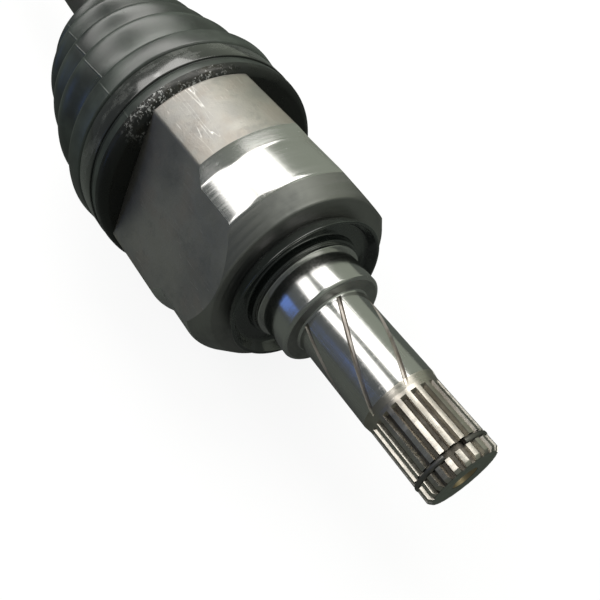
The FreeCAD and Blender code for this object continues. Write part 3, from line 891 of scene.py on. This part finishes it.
@dataclass
class Bell:
    """The tulip bell: front face, shoulder, turned band, ramp and the three-lobed forging."""

    layout: Layout
    front_face_r: float = 36.8
    shoulder_length: float = 7.6
    shoulder_round: float = 0.6
    turned_r: float = 42.8
    turned_length: float = 18.0
    ramp_length: float = 5.0
    overrun: float = 4.0
    blend_r: float = 2.2
    pitch_r: float = 22.5
    track_r: float = 15.55
    track_roof_r: float = 36.5
    cavity_r: float = 22.0
    front_wall: float = 10.6
    mouth_cone_r: float = 27.25
    mouth_cone_length: float = 16.0
    cutter_overlap: float = 1.0
    steps: int = 240
    cavity_steps: int = 96
    lobe_steps: int = 48
    blend_steps: int = 6

    def outline(self, x: float, growth: float = 0.0) -> list[Vector]:
        """Section of the forging: lobe arcs and flats joined by round blends.

        Args:
            x: the section's station.
            growth: how much larger it is all round.

        Returns:
            Its points in order.
        """
        outer = self.layout.forged_r + growth
        flat = self.layout.flat_distance + growth
        centre_r = outer - self.blend_r
        swing = math.degrees(math.acos((flat - self.blend_r) / centre_r))
        turns = [swing * i / self.blend_steps for i in range(self.blend_steps + 1)]
        span = 360.0 / self.layout.lobes - 2 * swing
        points = []
        for angle in self.layout.flat_angles():
            for side in (-1, 1):
                middle = polar(x, centre_r, angle + side * swing)
                for turn in turns[::side]:
                    points.append(middle + polar(0, self.blend_r, angle + side * turn))
            for i in range(1, self.lobe_steps):
                points.append(polar(x, outer, angle + swing + span * i / self.lobe_steps))
        return points

    def build(self) -> bpy.types.Object:
        """Make the bell.

        Returns:
            The finished bell.
        """
        front, mouth = self.layout.seat_face, self.layout.mouth
        shoulder_end = front - self.shoulder_length
        slope = (self.layout.forged_r - self.turned_r) / self.ramp_length
        blank_r = self.layout.forged_r + self.overrun * slope
        body = lathe("tulip_bell", [
            (front, 0), (front, self.front_face_r), (shoulder_end, self.turned_r),
            (shoulder_end - self.turned_length, self.turned_r),
            (self._forged_start() - self.overrun, blank_r), (mouth, blank_r), (mouth, 0),
        ], self.steps, {0.7: [1], 0.9: [2], 0.6: [3]})
        forging = prism("forging", self.outline(mouth), front + self.cutter_overlap - mouth)
        apply_boolean(body, forging, "INTERSECT")
        self._hollow(body, front - self.front_wall)
        edit(body)
        merge_doubles()
        split = shoulder_end + self.shoulder_round
        paint(
            body, (Finishes.FORGED, None),
            (Finishes.TURNED, lambda p: self._on_lathe(p) and p.x < split),
            (Finishes.SHOULDER, lambda p: self._on_lathe(p) and p.x >= split),
        )
        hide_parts("tulip_housing")
        return finish_piece(body, SHARP_STEEL)

    def _forged_start(self) -> float:
        """Station where the ramp from the turned band meets the forging."""
        return self.layout.seat_face - self.shoulder_length - self.turned_length - self.ramp_length

    def _on_lathe(self, p: Vector) -> bool:
        """Whether a face's middle lies on the turned surfaces and not on a flat or a lobe."""
        if p.x < self._forged_start() - 0.05:
            return False
        if p.x > self.layout.seat_face - 0.01:
            return True
        from_flats = [
            abs(p.y * math.cos(math.radians(a)) + p.z * math.sin(math.radians(a)) - self.layout.flat_distance)
            for a in self.layout.flat_angles()
        ]
        on_lobe = math.hypot(p.y, p.z) > self.layout.forged_r - 0.03
        return min(from_flats) > 0.02 and not on_lobe

    def _hollow(self, body: bpy.types.Object, floor: float) -> None:
        """Cut the cavity: a bore, three roller tracks and the mouth's cone."""
        mouth = self.layout.mouth
        outside = mouth - self.cutter_overlap
        bore = lathe("bore", [
            (outside, 0), (outside, self.mouth_cone_r), (mouth + self.mouth_cone_length, self.cavity_r),
            (floor, self.cavity_r), (floor, 0),
        ], self.cavity_steps)
        apply_boolean(body, bore)
        roof = self.track_roof_r - self.pitch_r
        for angle in self.layout.lobe_angles():
            bpy.ops.mesh.primitive_cylinder_add(
                vertices=self.cavity_steps, radius=self.track_r * MM, depth=(floor - outside) * MM,
                location=polar((floor + outside) / 2, self.pitch_r, angle) * MM, rotation=(0, math.pi / 2, 0),
            )
            track = bpy.context.object
            edit(track)
            select_mesh()
            outward = polar(0, 1, angle)
            place = track.matrix_world.translation + outward * roof * MM
            bpy.ops.mesh.bisect(plane_co=place, plane_no=outward, use_fill=True, clear_outer=True)
            apply_boolean(body, track)


@dataclass
class Stub:
    """The stub shaft: seat, seal collar, ground journal with its oil grooves, and the splined tip."""

    layout: Layout
    journal_r: float = 14.0
    journal_length: float = 36.3
    fillet: float = 1.2
    lead_in: float = 2.6
    spline_r: float = 13.5
    tooth_depth: float = 1.35
    teeth: int = 22
    tooth_setback: float = 0.6
    root_shade_share: float = 0.55
    tip_chamfer: float = 1.1
    collar_r: float = 20.0
    collar_length: float = 14.2
    collar_chamfer_length: float = 0.8
    collar_chamfer_height: float = 1.3
    seat_r: float = 21.5
    groove_setback: float = 5.1
    groove_width: float = 2.1
    groove_depth: float = 2.1
    drill_r: float = 2.2
    drill_depth: float = 9.0
    countersink_r: float = 4.8
    countersink_angle: float = 30.0
    oil_grooves: int = 6
    oil_start: float = 0.6
    oil_lead: float = 200.0
    oil_width: float = 1.7
    oil_floor_share: float = 0.45
    oil_top_share: float = 1.5
    oil_depth: float = 0.75
    oil_clearance: float = 0.6
    oil_cone_share: float = 0.7
    oil_phase: float = 24.5
    oil_steps: int = 36
    steps: int = 264

    def outline(self) -> list[tuple[float, float]]:
        """Turned outline, from the seat to the drilled centre."""
        tip, seat, collar = self.layout.tip, self.layout.seat_face, -self.collar_length
        groove_high = tip - self.groove_setback
        groove_low = groove_high - self.groove_width
        groove_r = self.spline_r - self.groove_depth
        sink = (self.countersink_r - self.drill_r) / math.tan(math.radians(self.countersink_angle))
        drill_end = tip - self.drill_depth
        return [
            (seat, 0), (seat, self.seat_r), (collar, self.seat_r), (collar, self.collar_r),
            (-self.collar_chamfer_length, self.collar_r), (0, self.collar_r - self.collar_chamfer_height),
            (0, self.journal_r), (self.journal_length, self.journal_r), (self._spline_start(), self.spline_r),
            (groove_low, self.spline_r), (groove_low, groove_r), (groove_high, groove_r),
            (groove_high, self.spline_r), (tip - self.tip_chamfer, self.spline_r),
            (tip, self.spline_r - self.tip_chamfer), (tip, self.countersink_r), (tip - sink, self.drill_r),
            (drill_end, self.drill_r), (drill_end - self.drill_r / 2, 0),
        ]

    def _spline_start(self) -> float:
        """Station where the cone from the journal meets the spline."""
        return self.journal_length + self.lead_in

    def build(self) -> bpy.types.Object:
        """Make the stub.

        Returns:
            The finished stub.
        """
        rounds = {0.35: [2, 4, 5], self.fillet: [6], 0.25: [7, 8], 0.15: [13, 14, 15]}
        body = lathe("stub_shaft", self.outline(), self.steps, rounds)
        apply_boolean(body, self._oil_cutter())
        tip, spline_start = self.layout.tip, self._spline_start()
        teeth = SplineTeeth(
            self.spline_r, self.tooth_depth, self.teeth, tip + 1, spline_start + self.tooth_setback)
        apply_boolean(body, teeth.cutter("tooth_spaces"))
        groove = self.journal_r - 0.05
        root = self.spline_r - self.tooth_depth * self.root_shade_share
        drilled = self.countersink_r - 0.1
        deepest = tip - self.drill_depth - 2
        paint(
            body, (Finishes.GROUND, None),
            (Finishes.GROOVE, lambda p: 0.2 < p.x < spline_start and math.hypot(p.y, p.z) < groove),
            (Finishes.SPLINE, lambda p: p.x > self.journal_length + 0.05),
            # painted shade on the tooth spaces below part of the tooth depth
            (Finishes.SPLINE_ROOT, lambda p: p.x > spline_start and math.hypot(p.y, p.z) < root),
            (Finishes.SHOULDER, lambda p: -0.05 < p.x < 0.05),
            (Finishes.TIP_FACE, lambda p: p.x > tip - 0.05),
            (Finishes.CENTRE, lambda p: deepest < p.x < tip - 0.02 and math.hypot(p.y, p.z) < drilled),
        )
        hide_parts("tulip_housing")
        return finish_piece(body, SHARP_STEEL)

    def _oil_cutter(self) -> bpy.types.Object:
        """Cutter of the oil grooves, swept along a long helix from the collar to the spline cone."""
        start, end = self.oil_start, self.journal_length + self.lead_in * self.oil_cone_share
        half = self.oil_width / 2 / self.journal_r
        floor, top = half * self.oil_floor_share, half * self.oil_top_share
        low, high = self.journal_r - self.oil_depth, self.journal_r + self.oil_clearance
        phase = self.oil_phase + 360.0 * start / self.oil_lead
        corners = ((low, -floor), (high, -top), (high, top), (low, floor))
        piece = draw("oil_cutter", [polar(start, r, phase + math.degrees(side)) for r, side in corners], True)
        fill()
        advance = (end - start) / self.oil_steps
        swing = Matrix.Rotation(math.radians(360.0 * advance / self.oil_lead), 4, "X")
        for _ in range(self.oil_steps):
            extrude(advance)
            mesh = bmesh.from_edit_mesh(piece.data)
            moved = [v for v in mesh.verts if v.select]
            bmesh.ops.rotate(mesh, verts=moved, cent=ORIGIN, matrix=swing)
            bmesh.update_edit_mesh(piece.data)
        clean()
        repeat_round(self.oil_grooves)
        return piece


@dataclass
class Deflector:
    """Black pressed dust cup on the seat behind the seal collar."""

    wall: float = 1.2
    sleeve_length: float = 4.4
    root_r: float = 29.2
    steps: int = 240

    def build(self, seat_r: float) -> bpy.types.Object:
        """Make the cup.

        Args:
            seat_r: radius of its seat.

        Returns:
            The finished cup.
        """
        low, high = reach("deflector_ring")
        back, lip, rim, wall = low.x, high.x, high.z, self.wall
        sleeve = back + self.sleeve_length
        outline = [
            (back, seat_r), (sleeve, seat_r), (sleeve, seat_r + wall), (back + wall, seat_r + wall),
            (back + wall, self.root_r - wall), (back + 2 * wall, self.root_r - wall / 3),
            (lip, rim - wall), (lip, rim), (back + 1.5 * wall, self.root_r + wall * 0.9),
            (back, self.root_r - wall * 0.2),
        ]
        cup = lathe("dust_cup", outline, self.steps, {0.3: [1, 2], 0.45: [6, 7], 0.8: [3, 4, 8]}, True)
        paint(cup, (Finishes.DEFLECTOR, None))
        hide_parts("deflector_ring")
        return finish_piece(cup, SHARP_WIRE)


@dataclass
class WireRing:
    """Round-wire circlip with two free ends, standing a little proud of its spline."""

    name: str
    x: float
    spline_r: float
    proud: float = 0.3
    wire_r: float = 0.97
    wire_centre: float = 1.0
    gap: float = 34.0
    gap_at: float = 65.0
    wire_steps: int = 16
    steps: int = 96

    def build(self) -> bpy.types.Object:
        """Make the ring, in edit mode.

        Returns:
            The ring.
        """
        nothing_selected()
        bpy.ops.mesh.primitive_circle_add(vertices=self.wire_steps, radius=self.wire_r * MM, fill_type="NGON")
        ring = bpy.context.object
        ring.name = self.name
        ring.data.name = self.name
        bpy.ops.object.mode_set(mode="EDIT")
        select_mesh()
        start = self.gap_at + self.gap / 2
        turn_mesh(ring, start)
        centre = polar(self.x, self.spline_r + self.proud - self.wire_centre, start) * MM
        mesh = bmesh.from_edit_mesh(ring.data)
        bmesh.ops.translate(mesh, verts=mesh.verts, vec=centre)
        bmesh.update_edit_mesh(ring.data)
        bpy.ops.mesh.spin(steps=self.steps, angle=math.radians(360.0 - self.gap), center=ORIGIN, axis=X_AXIS)
        clean()
        return ring


# --------------------------------------------------------------------- boot
@dataclass
class Boot:
    """Convoluted boot in two halves that meet in a valley, so that each half bends across one joint."""

    layout: Layout
    cuff_wall: float = 1.7
    lip_length: float = 9.4
    lip_bead: float = 0.55
    lip_round: float = 2.6
    clamp_shoulder: float = 0.6
    first_rise: float = 1.9
    wall: float = 2.2
    core_setback: float = 3.0
    mouth_gap: float = 1.0
    bell_gap: float = 0.04
    greasy_share: float = 0.42
    crests: tuple[float, ...] = (6.0, 28.0, 44.0, 60.0, 74.0, 85.0)
    drops: tuple[float, ...] = (0.0, 3.8, 7.2, 10.6, 15.8, 21.8)
    depths: tuple[float, ...] = (6.0, 4.6, 5.6, 6.6, 6.4)
    small_cuff_r: float = 17.05
    small_bore_r: float = 12.87
    small_cuff_length: float = 13.0
    small_cuff_ridge: float = 0.7
    small_cuff_chamfer: float = 0.6
    small_clamp_width: float = 7.0
    fold_steps: int = 8
    steps: int = 176
    seam_valley: int = 1

    def folds(self) -> list[tuple[float, float]]:
        """(offset behind the mouth, radius) of each crest and valley, ending at the small cuff."""
        first = self.layout.forged_r + self.cuff_wall + self.first_rise
        stations = []
        for i, offset in enumerate(self.crests):
            crest = first - self.drops[i]
            stations.append((offset, crest))
            if i + 1 < len(self.crests):
                following = first - self.drops[i + 1]
                middle = (offset + self.crests[i + 1]) / 2
                stations.append((middle, (crest + following) / 2 - self.depths[i]))
        return stations + [(self.layout.leaning_length, self.small_cuff_r)]

    def wave(self, start: int, end: int, inset: float) -> list[tuple[float, float]]:
        """Rounded line through some of the folds.

        Args:
            start: number of the first crest or valley.
            end: number of the last.
            inset: how far inside the outer skin it runs.

        Returns:
            (x, radius) points.
        """
        line = []
        stations = self.folds()
        for (a, a_r), (b, b_r) in zip(stations[start:end], stations[start + 1:end + 1]):
            for i in range(self.fold_steps):
                t = i / self.fold_steps
                eased = (1 - math.cos(math.pi * t)) / 2
                line.append((self.layout.mouth - a - (b - a) * t, a_r + (b_r - a_r) * eased - inset))
        last = stations[end]
        line.append((self.layout.mouth - last[0], last[1] - inset))
        return line

    def seam(self) -> int:
        """Number of the valley where the halves meet."""
        return 2 * self.seam_valley + 1

    def front(self) -> bpy.types.Object:
        """Large cuff and the first folds, following the bell."""
        mouth, lip = self.layout.mouth, reach("boot")[1].x
        low, high = (corner.x for corner in reach("large_clamp"))
        cuff_r = self.layout.forged_r + self.cuff_wall
        core = self.layout.flat_distance - self.core_setback
        bead, curl, step = self.lip_bead, self.lip_round, self.clamp_shoulder
        cuff = [
            (lip - 0.9, core), (lip, cuff_r - curl), (lip - curl * 0.4, cuff_r - curl * 0.3),
            (lip - curl, cuff_r + bead * 0.5), (lip - self.lip_length * 0.5, cuff_r + bead),
            (high + step * 2, cuff_r + bead * 0.6), (high + step, cuff_r - step), (high, cuff_r),
            (low, cuff_r), (low - step, cuff_r - step), (low - 2 * step, cuff_r + self.first_rise * 0.5),
        ]
        stop = mouth - self.mouth_gap
        inner = [p for p in self.wave(0, self.seam(), self.wall)[::-1] if p[0] < stop]
        outline = cuff + self.wave(0, self.seam(), 0.0) + inner + [(stop, inner[-1][1]), (stop, core)]
        rounds = {0.5: [1, 3, 5], 0.25: [6, 9], 0.6: [10], 0.4: [len(outline) - 2]}
        half = lathe("boot_front", outline, self.steps, rounds, True)
        bell = prism("bell_room", Bell(self.layout).outline(mouth - 2.0, self.bell_gap), lip + 4.0 - mouth)
        apply_boolean(half, bell)
        self._bend(half)
        greasy = lip - self.lip_length * self.greasy_share
        paint(half, (Finishes.BOOT, None), (Finishes.LIP, lambda p: p.x > greasy))
        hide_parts("boot")
        return finish_piece(half, SHARP_RUBBER)

    def small_clamp_middle(self) -> float:
        """Station of the small clamp's middle, before the shaft leans."""
        return self.layout.mouth - self.layout.leaning_length - self.small_cuff_length / 2

    def rear(self) -> bpy.types.Object:
        """The rest of the folds and the small cuff on the shaft."""
        last = len(self.folds()) - 1
        end = self.layout.mouth - self.layout.leaning_length - self.small_cuff_length
        high = self.small_clamp_middle() + self.small_clamp_width / 2
        low = self.small_clamp_middle() - self.small_clamp_width / 2
        cuff_r, ridge, step = self.small_cuff_r, self.small_cuff_ridge, self.small_cuff_chamfer
        cuff = [
            (high + ridge, cuff_r + ridge), (high, cuff_r), (low, cuff_r), (low - ridge, cuff_r + 0.6),
            (end + step, cuff_r + 0.5), (end, cuff_r - step), (end, self.small_bore_r),
        ]
        outer = self.wave(self.seam(), last, 0.0)
        inner = [p for p in self.wave(self.seam(), last, self.wall)[::-1] if p[1] > self.small_bore_r + 0.4]
        rounds = {0.4: [len(outer) + 4, len(outer) + 5]}
        half = lathe("boot_rear", outer + cuff + inner, self.steps, rounds, True)
        self._bend(half)
        paint(half, (Finishes.BOOT, None))
        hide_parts("boot")
        return finish_piece(half, SHARP_RUBBER)

    def _bend(self, half: bpy.types.Object) -> None:
        """Swing each ring of a half from the housing's axis towards the shaft's.

        Args:
            half: one half, straight.
        """
        edit(half)
        mesh = bmesh.from_edit_mesh(half.data)
        rings: dict[float, list[bmesh.types.BMVert]] = {}
        for vertex in mesh.verts:
            rings.setdefault(round(vertex.co.x / MM, 3), []).append(vertex)
        for x, ring in rings.items():
            share = self.layout.lean_share(x)
            if share == 0.0:
                continue
            old = Vector((x, 0, 0))
            new = old.lerp(self.layout.on_shaft(x), share)
            swing = Matrix.Rotation(math.radians(-self.layout.rest_tilt) * share, 4, "Z")
            bmesh.ops.rotate(mesh, verts=ring, cent=old * MM, matrix=swing)
            bmesh.ops.translate(mesh, verts=ring, vec=(new - old) * MM)
        bmesh.update_edit_mesh(half.data)
        nothing_selected()


# ------------------------------------------------------------------- clamps
@dataclass
class Clamp:
    """Crimped band clamp: a rounded strip with its ear on the hidden side."""

    name: str
    seat_r: float
    width: float
    thickness: float = 0.8
    ear_width: float = 9.0
    ear_height: float = 4.2
    ear_wall: float = 0.9
    ear_sink: float = 0.35
    ear_inset: float = 0.4
    window_share: float = 0.66
    ear_angle: float = -25.0
    steps: int = 200

    def build(self, x: float) -> bpy.types.Object:
        """Make the clamp.

        Args:
            x: station of its middle.

        Returns:
            The clamp, in object mode.
        """
        half = self.width / 2
        top = self.seat_r + self.thickness
        outline = [(x - half, self.seat_r), (x - half, top), (x + half, top), (x + half, self.seat_r)]
        band = lathe(self.name, outline, self.steps, {0.3: [1, 2]}, True)
        apply_boolean(band, self._ear(x, top - self.ear_sink), "UNION")
        return band

    def _ear(self, x: float, base: float) -> bpy.types.Object:
        """Crimped ear: an outer loop with a smaller one cut out of it."""
        solid = self._loop(x, base, self.width - self.ear_inset, 1.0, "ear")
        window = self._loop(x, base + self.ear_wall, self.width + 2, self.window_share, "ear_window")
        apply_boolean(solid, window)
        return solid

    def _loop(self, x: float, base: float, width: float, share: float, name: str) -> bpy.types.Object:
        """Bar with the outline of a crimped ear."""
        half = self.ear_width / 2 * share
        height = self.ear_height * share
        outline = [
            (-half, 0.0), (-half * 0.62, height * 0.35), (-half * 0.8, height * 0.75), (-half * 0.45, height),
            (half * 0.45, height), (half * 0.8, height * 0.75), (half * 0.62, height * 0.35), (half, 0.0),
        ]
        points = [Vector((x - width / 2, side, base + up)) for side, up in outline]
        bar = draw(name, points, True)
        round_corners(bar, points[1:-1], 0.35 * share, 3)
        fill()
        extrude(width)
        clean()
        turn_mesh(bar, self.ear_angle - 90.0)
        nothing_selected()
        return bar


# --------------------------------------------------------------- shaft side
@dataclass
class DriveShaft:
    """Intermediate shaft: a bar with a spline at each end and two boot lands."""

    layout: Layout
    shaft_r: float = 11.5
    spline_r: float = 12.0
    tooth_depth: float = 1.2
    teeth: int = 24
    length: float = 310.0
    nose: float = 14.7
    land_r: float = 12.8
    land_start: float = 96.0
    land_end: float = 109.0
    outer_land_setback: float = 62.0
    outer_land_length: float = 16.0
    outer_spline: float = 26.0
    inner_spline_end: float = 16.5
    tooth_setback: float = 0.6
    ramp: float = 2.0
    tip_chamfer: float = 1.0
    groove_setback: float = 5.1
    groove_width: float = 2.1
    groove_depth: float = 2.1
    steps: int = 144

    def outer_tip(self) -> float:
        """Station of the shaft's far end, before it leans."""
        return self.layout.hinge + self.nose - self.length

    def outline(self) -> list[tuple[float, float]]:
        """Turned outline, joint end first."""
        bar, spline, ramp, chamfer = self.shaft_r, self.spline_r, self.ramp, self.tip_chamfer
        tip, spline_end = self.layout.hinge + self.nose, self.layout.hinge - self.inner_spline_end
        end = self.outer_tip()
        outer_spline, outer_land = end + self.outer_spline, end + self.outer_land_setback
        groove_low = end + self.groove_setback
        groove_high, groove_r = groove_low + self.groove_width, spline - self.groove_depth
        return [
            (tip, 0), (tip, spline - chamfer), (tip - chamfer, spline),
            (spline_end, spline), (spline_end - ramp, bar),
            *self._land(self.layout.mouth - self.land_start, self.layout.mouth - self.land_end),
            *self._land(outer_land + self.outer_land_length, outer_land),
            (outer_spline + ramp, bar), (outer_spline, spline),
            (groove_high, spline), (groove_high, groove_r), (groove_low, groove_r), (groove_low, spline),
            (end + chamfer, spline), (end, spline - chamfer), (end, 0),
        ]

    def _land(self, high: float, low: float) -> list[tuple[float, float]]:
        """Raised land between two stations, joint end first."""
        top, ramp = self.land_r, self.ramp
        return [(high, self.shaft_r), (high - ramp, top), (low + ramp, top), (low, self.shaft_r)]

    def build(self) -> bpy.types.Object:
        """Make the shaft.

        Returns:
            The finished shaft.
        """
        rounds = {0.6: list(range(5, 15)), 0.2: [1, 2, 19, 20]}
        body = lathe("drive_shaft", self.outline(), self.steps, rounds)
        tip, end = self.layout.hinge + self.nose, self.outer_tip()
        spline_end, outer_spline = self.layout.hinge - self.inner_spline_end, end + self.outer_spline
        runs = (("inner_spaces", tip + 1, spline_end + self.tooth_setback),
                ("outer_spaces", end - 1, outer_spline - self.tooth_setback))
        for name, start, stop in runs:
            teeth = SplineTeeth(self.spline_r, self.tooth_depth, self.teeth, start, stop)
            apply_boolean(body, teeth.cutter(name))
        paint(
            body, (Finishes.SHAFT, None),
            (Finishes.SHAFT_SPLINE, lambda p: p.x > spline_end or p.x < outer_spline),
        )
        lean(body, self.layout)
        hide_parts("intermediate_shaft")
        return finish_piece(body, SHARP_STEEL)


# -------------------------------------------------------------------- studio
@dataclass
class Softbox:
    """One rectangular lamp, placed by its direction from the joint."""

    name: str
    azimuth: float
    elevation: float
    distance: float
    width: float
    height: float
    power: float
    colour: Triple = (1.0, 1.0, 1.0)
    along: float = 0.0

    def place(self, target: Vector) -> None:
        """Hang the lamp so that it faces the target, then slide it along X without turning it.

        Args:
            target: the point it faces, in metres.
        """
        turn, rise = math.radians(self.azimuth), math.radians(self.elevation)
        away = Vector((math.cos(rise) * math.cos(turn), math.cos(rise) * math.sin(turn), math.sin(rise)))
        lamp = bpy.data.lights.new(self.name, "AREA")
        lamp.shape = "RECTANGLE"
        lamp.size = self.width
        lamp.size_y = self.height
        lamp.energy = self.power
        lamp.color = self.colour
        holder = bpy.data.objects.new(self.name, lamp)
        holder.location = target + away * self.distance + X_AXIS * self.along
        holder.rotation_mode = "QUATERNION"
        holder.rotation_quaternion = (-away).to_track_quat("-Z", "Y")
        bpy.context.scene.collection.objects.link(holder)


@dataclass
class Studio:
    """Floor, lamps, surroundings and camera."""

    floor_gap: float = 0.3
    floor_size: float = 12.0
    lamp_target: Triple = (-0.05, 0.0, 0.0)
    lens: float = 39.5
    sensor: float = 36.0
    clip_start: float = 0.01
    camera_place: Triple = (97.96, -79.23, 188.79)
    camera_right: Triple = (0.55634, 0.83095, 0.0)
    camera_back: Triple = (0.48130, -0.32224, 0.81518)
    lamps: tuple[Softbox, ...] = (
        Softbox("main_softbox", 107.0, 70.3, 1.29, 1.60, 0.74, 10.0, (1.0, 0.985, 0.95), -0.48),
        Softbox("side_softbox", -105.4, 71.0, 1.30, 1.60, 0.50, 5.6, (1.0, 0.985, 0.95), -0.48),
        Softbox("front_fill", 30.0, 41.0, 1.4, 1.0, 0.6, 1.3, (0.98, 1.0, 0.94)),
        Softbox("blue_card", -115.0, 17.0, 1.0, 0.16, 0.38, 0.13, (0.12, 0.30, 1.0)),
    )

    def build(self) -> None:
        """Set the whole studio up."""
        self._floor(CAD_BOX[0].z - self.floor_gap * MM)
        for lamp in self.lamps:
            lamp.place(Vector(self.lamp_target))
        self._surroundings()
        self._camera()
        bpy.context.scene.view_settings.view_transform = "Standard"

    def _floor(self, height: float) -> None:
        """Pale floor whose camera view is white apart from the joint's soft shadow."""
        nothing_selected()
        bpy.ops.mesh.primitive_plane_add(size=self.floor_size, location=(0, 0, height))
        floor = bpy.context.object
        floor.name = "floor"
        material = bpy.data.materials.new("pale_floor")
        graph = Graph(material)
        place = graph.node("ShaderNodeTexCoord", {}, {}, "Object")
        x, y, _ = graph.axes(place)
        whiteness = (x * x + y * y).root().step(0.7, 2.5, 0.8, 1.0)
        pale = graph.node("ShaderNodeBsdfDiffuse", {}, {"Color": (0.86, 0.86, 0.86, 1)})
        dim = graph.node("ShaderNodeBsdfDiffuse", {}, {"Color": (0.085, 0.10, 0.085, 1)})
        glow = graph.node("ShaderNodeEmission", {}, {"Strength": 1.12})
        seen = graph.node("ShaderNodeMixShader", {}, {"Fac": whiteness, 1: pale, 2: glow})
        mirrored = graph.node("ShaderNodeLightPath", {}, {}, "Is Glossy Ray") * 0.04
        share = mirrored + graph.node("ShaderNodeLightPath", {}, {}, "Is Camera Ray")
        both = graph.node("ShaderNodeMixShader", {}, {"Fac": share, 1: dim, 2: seen})
        graph.node("ShaderNodeOutputMaterial", {}, {"Surface": both})
        floor.data.materials.append(material)

    def _surroundings(self) -> None:
        """White to the camera, and a calm grey-green room to the joint."""
        world = bpy.data.worlds.new("studio_room")
        bpy.context.scene.world = world
        graph = Graph(world)
        _, y, _ = graph.axes(graph.node("ShaderNodeTexCoord", {}, {}, "Generated"))
        colours = {0: y.step(-0.7, 0.8), 6: (0.10, 0.11, 0.11, 1), 7: (0.30, 0.33, 0.27, 1)}
        walls = graph.node("ShaderNodeMix", {"data_type": "RGBA"}, colours, 2)
        room = graph.node("ShaderNodeBackground", {}, {"Color": walls})
        white = graph.node("ShaderNodeBackground", {}, {"Color": (1, 1, 1, 1)})
        camera_ray = graph.node("ShaderNodeLightPath", {}, {}, "Is Camera Ray")
        either = graph.node("ShaderNodeMixShader", {}, {"Fac": camera_ray, 1: room, 2: white})
        graph.node("ShaderNodeOutputWorld", {}, {"Surface": either})

    def _camera(self) -> None:
        """Camera above and ahead of the splined tip."""
        data = bpy.data.cameras.new("camera")
        data.lens = self.lens
        data.sensor_width = self.sensor
        data.clip_start = self.clip_start
        camera = bpy.data.objects.new("camera", data)
        right = Vector(self.camera_right)
        back = Vector(self.camera_back)
        up = back.cross(right)
        turn = Matrix((right, up, back)).transposed().to_4x4()
        camera.matrix_world = Matrix.Translation(Vector(self.camera_place) * MM) @ turn
        bpy.context.scene.collection.objects.link(camera)
        bpy.context.scene.camera = camera


# ---------------------------------------------------------------- assembly
@dataclass
class HousingSide:
    """Everything that stays with the tulip housing."""

    layout: Layout
    clamp_width: float = 9.0

    def build(self) -> None:
        """Make and mount the housing's pieces."""
        stub = Stub(self.layout)
        pieces = [Bell(self.layout).build(), stub.build(), Deflector().build(stub.seat_r)]
        groove = self.layout.tip - stub.groove_setback - stub.groove_width / 2
        ring = WireRing("tip_circlip", groove, stub.spline_r).build()
        paint(ring, (Finishes.SPRING, None))
        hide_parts("stub_circlip")
        pieces.append(finish_piece(ring, SHARP_WIRE))
        low, high = reach("large_clamp")
        seat_r = self.layout.forged_r + Boot(self.layout).cuff_wall
        band = Clamp("boot_clamp_large", seat_r, self.clamp_width).build((low.x + high.x) / 2)
        paint(band, (Finishes.BAND, None))
        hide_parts("large_clamp")
        pieces.append(finish_piece(band, SHARP_BAND))
        for piece in pieces:
            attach(piece, "housing")


@dataclass
class ShaftSide:
    """Everything that swings and slides with the intermediate shaft."""

    layout: Layout
    clamp_seat_r: float = 17.1
    clamp_steps: int = 120

    def build(self) -> None:
        """Make and mount the shaft's pieces."""
        shaft = DriveShaft(self.layout)
        pieces = [shaft.build()]
        groove = shaft.outer_tip() + shaft.groove_setback + shaft.groove_width / 2
        ring = WireRing("shaft_end_circlip", groove, shaft.spline_r).build()
        lean(ring, self.layout)
        paint(ring, (Finishes.SPRING, None))
        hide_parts("shaft_circlip")
        pieces.append(finish_piece(ring, SHARP_WIRE))
        boot = Boot(self.layout)
        clamp = Clamp("boot_clamp_small", self.clamp_seat_r, boot.small_clamp_width, steps=self.clamp_steps)
        band = clamp.build(boot.small_clamp_middle())
        lean(band, self.layout)
        paint(band, (Finishes.BAND, None))
        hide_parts("small_clamp")
        pieces.append(finish_piece(band, SHARP_BAND))
        for piece in pieces:
            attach(piece, "shaft")


@dataclass
class Bellows:
    """The two boot halves, each bent across one joint."""

    layout: Layout

    def build(self) -> None:
        """Make both halves and bake their placement into their meshes."""
        boot = Boot(self.layout)
        offset = boot.folds()[boot.seam()][0]
        seam = Vector((self.layout.mouth - offset, 0, 0)) * MM
        front = boot.front()
        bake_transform(front)
        rear = boot.rear()
        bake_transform(rear)


@dataclass
class InnerPieces:
    """Finishes of the sealed pieces, which keep their construction meshes."""

    coats: tuple[tuple[str, Finishes], ...] = (
        ("tripod_spider", Finishes.SPIDER), ("roller_", Finishes.BEARING),
        ("needle_rollers_", Finishes.BEARING),
        ("needle_washer_", Finishes.SPRING), ("trunnion_snap_ring_", Finishes.SPRING),
        ("nose_snap_ring", Finishes.SPRING), ("stop_snap_ring", Finishes.SPRING),
        ("tulip_housing", Finishes.FORGED), ("deflector_ring", Finishes.DEFLECTOR),
        ("stub_circlip", Finishes.SPRING), ("shaft_circlip", Finishes.SPRING), ("boot", Finishes.BOOT),
        ("large_clamp", Finishes.BAND), ("small_clamp", Finishes.BAND),
        ("intermediate_shaft", Finishes.SHAFT),
    )

    def build(self) -> None:
        """Dress every construction node."""
        for name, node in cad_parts.items():
            for prefix, finish in self.coats:
                if name.startswith(prefix):
                    node.data.materials.clear()
                    node.data.materials.append(PAINTS.get(finish))


def main() -> None:
    """Build the joint and its studio."""
    logging.basicConfig(level=logging.INFO, format="%(name)s: %(message)s")
    layout = Layout.from_frame()
    for assembly in (HousingSide(layout), ShaftSide(layout), Bellows(layout), InnerPieces(), Studio()):
        assembly.build()
        LOG.info("built %s", type(assembly).__name__)
    nothing_selected()


if __name__ == "__main__":
    main()
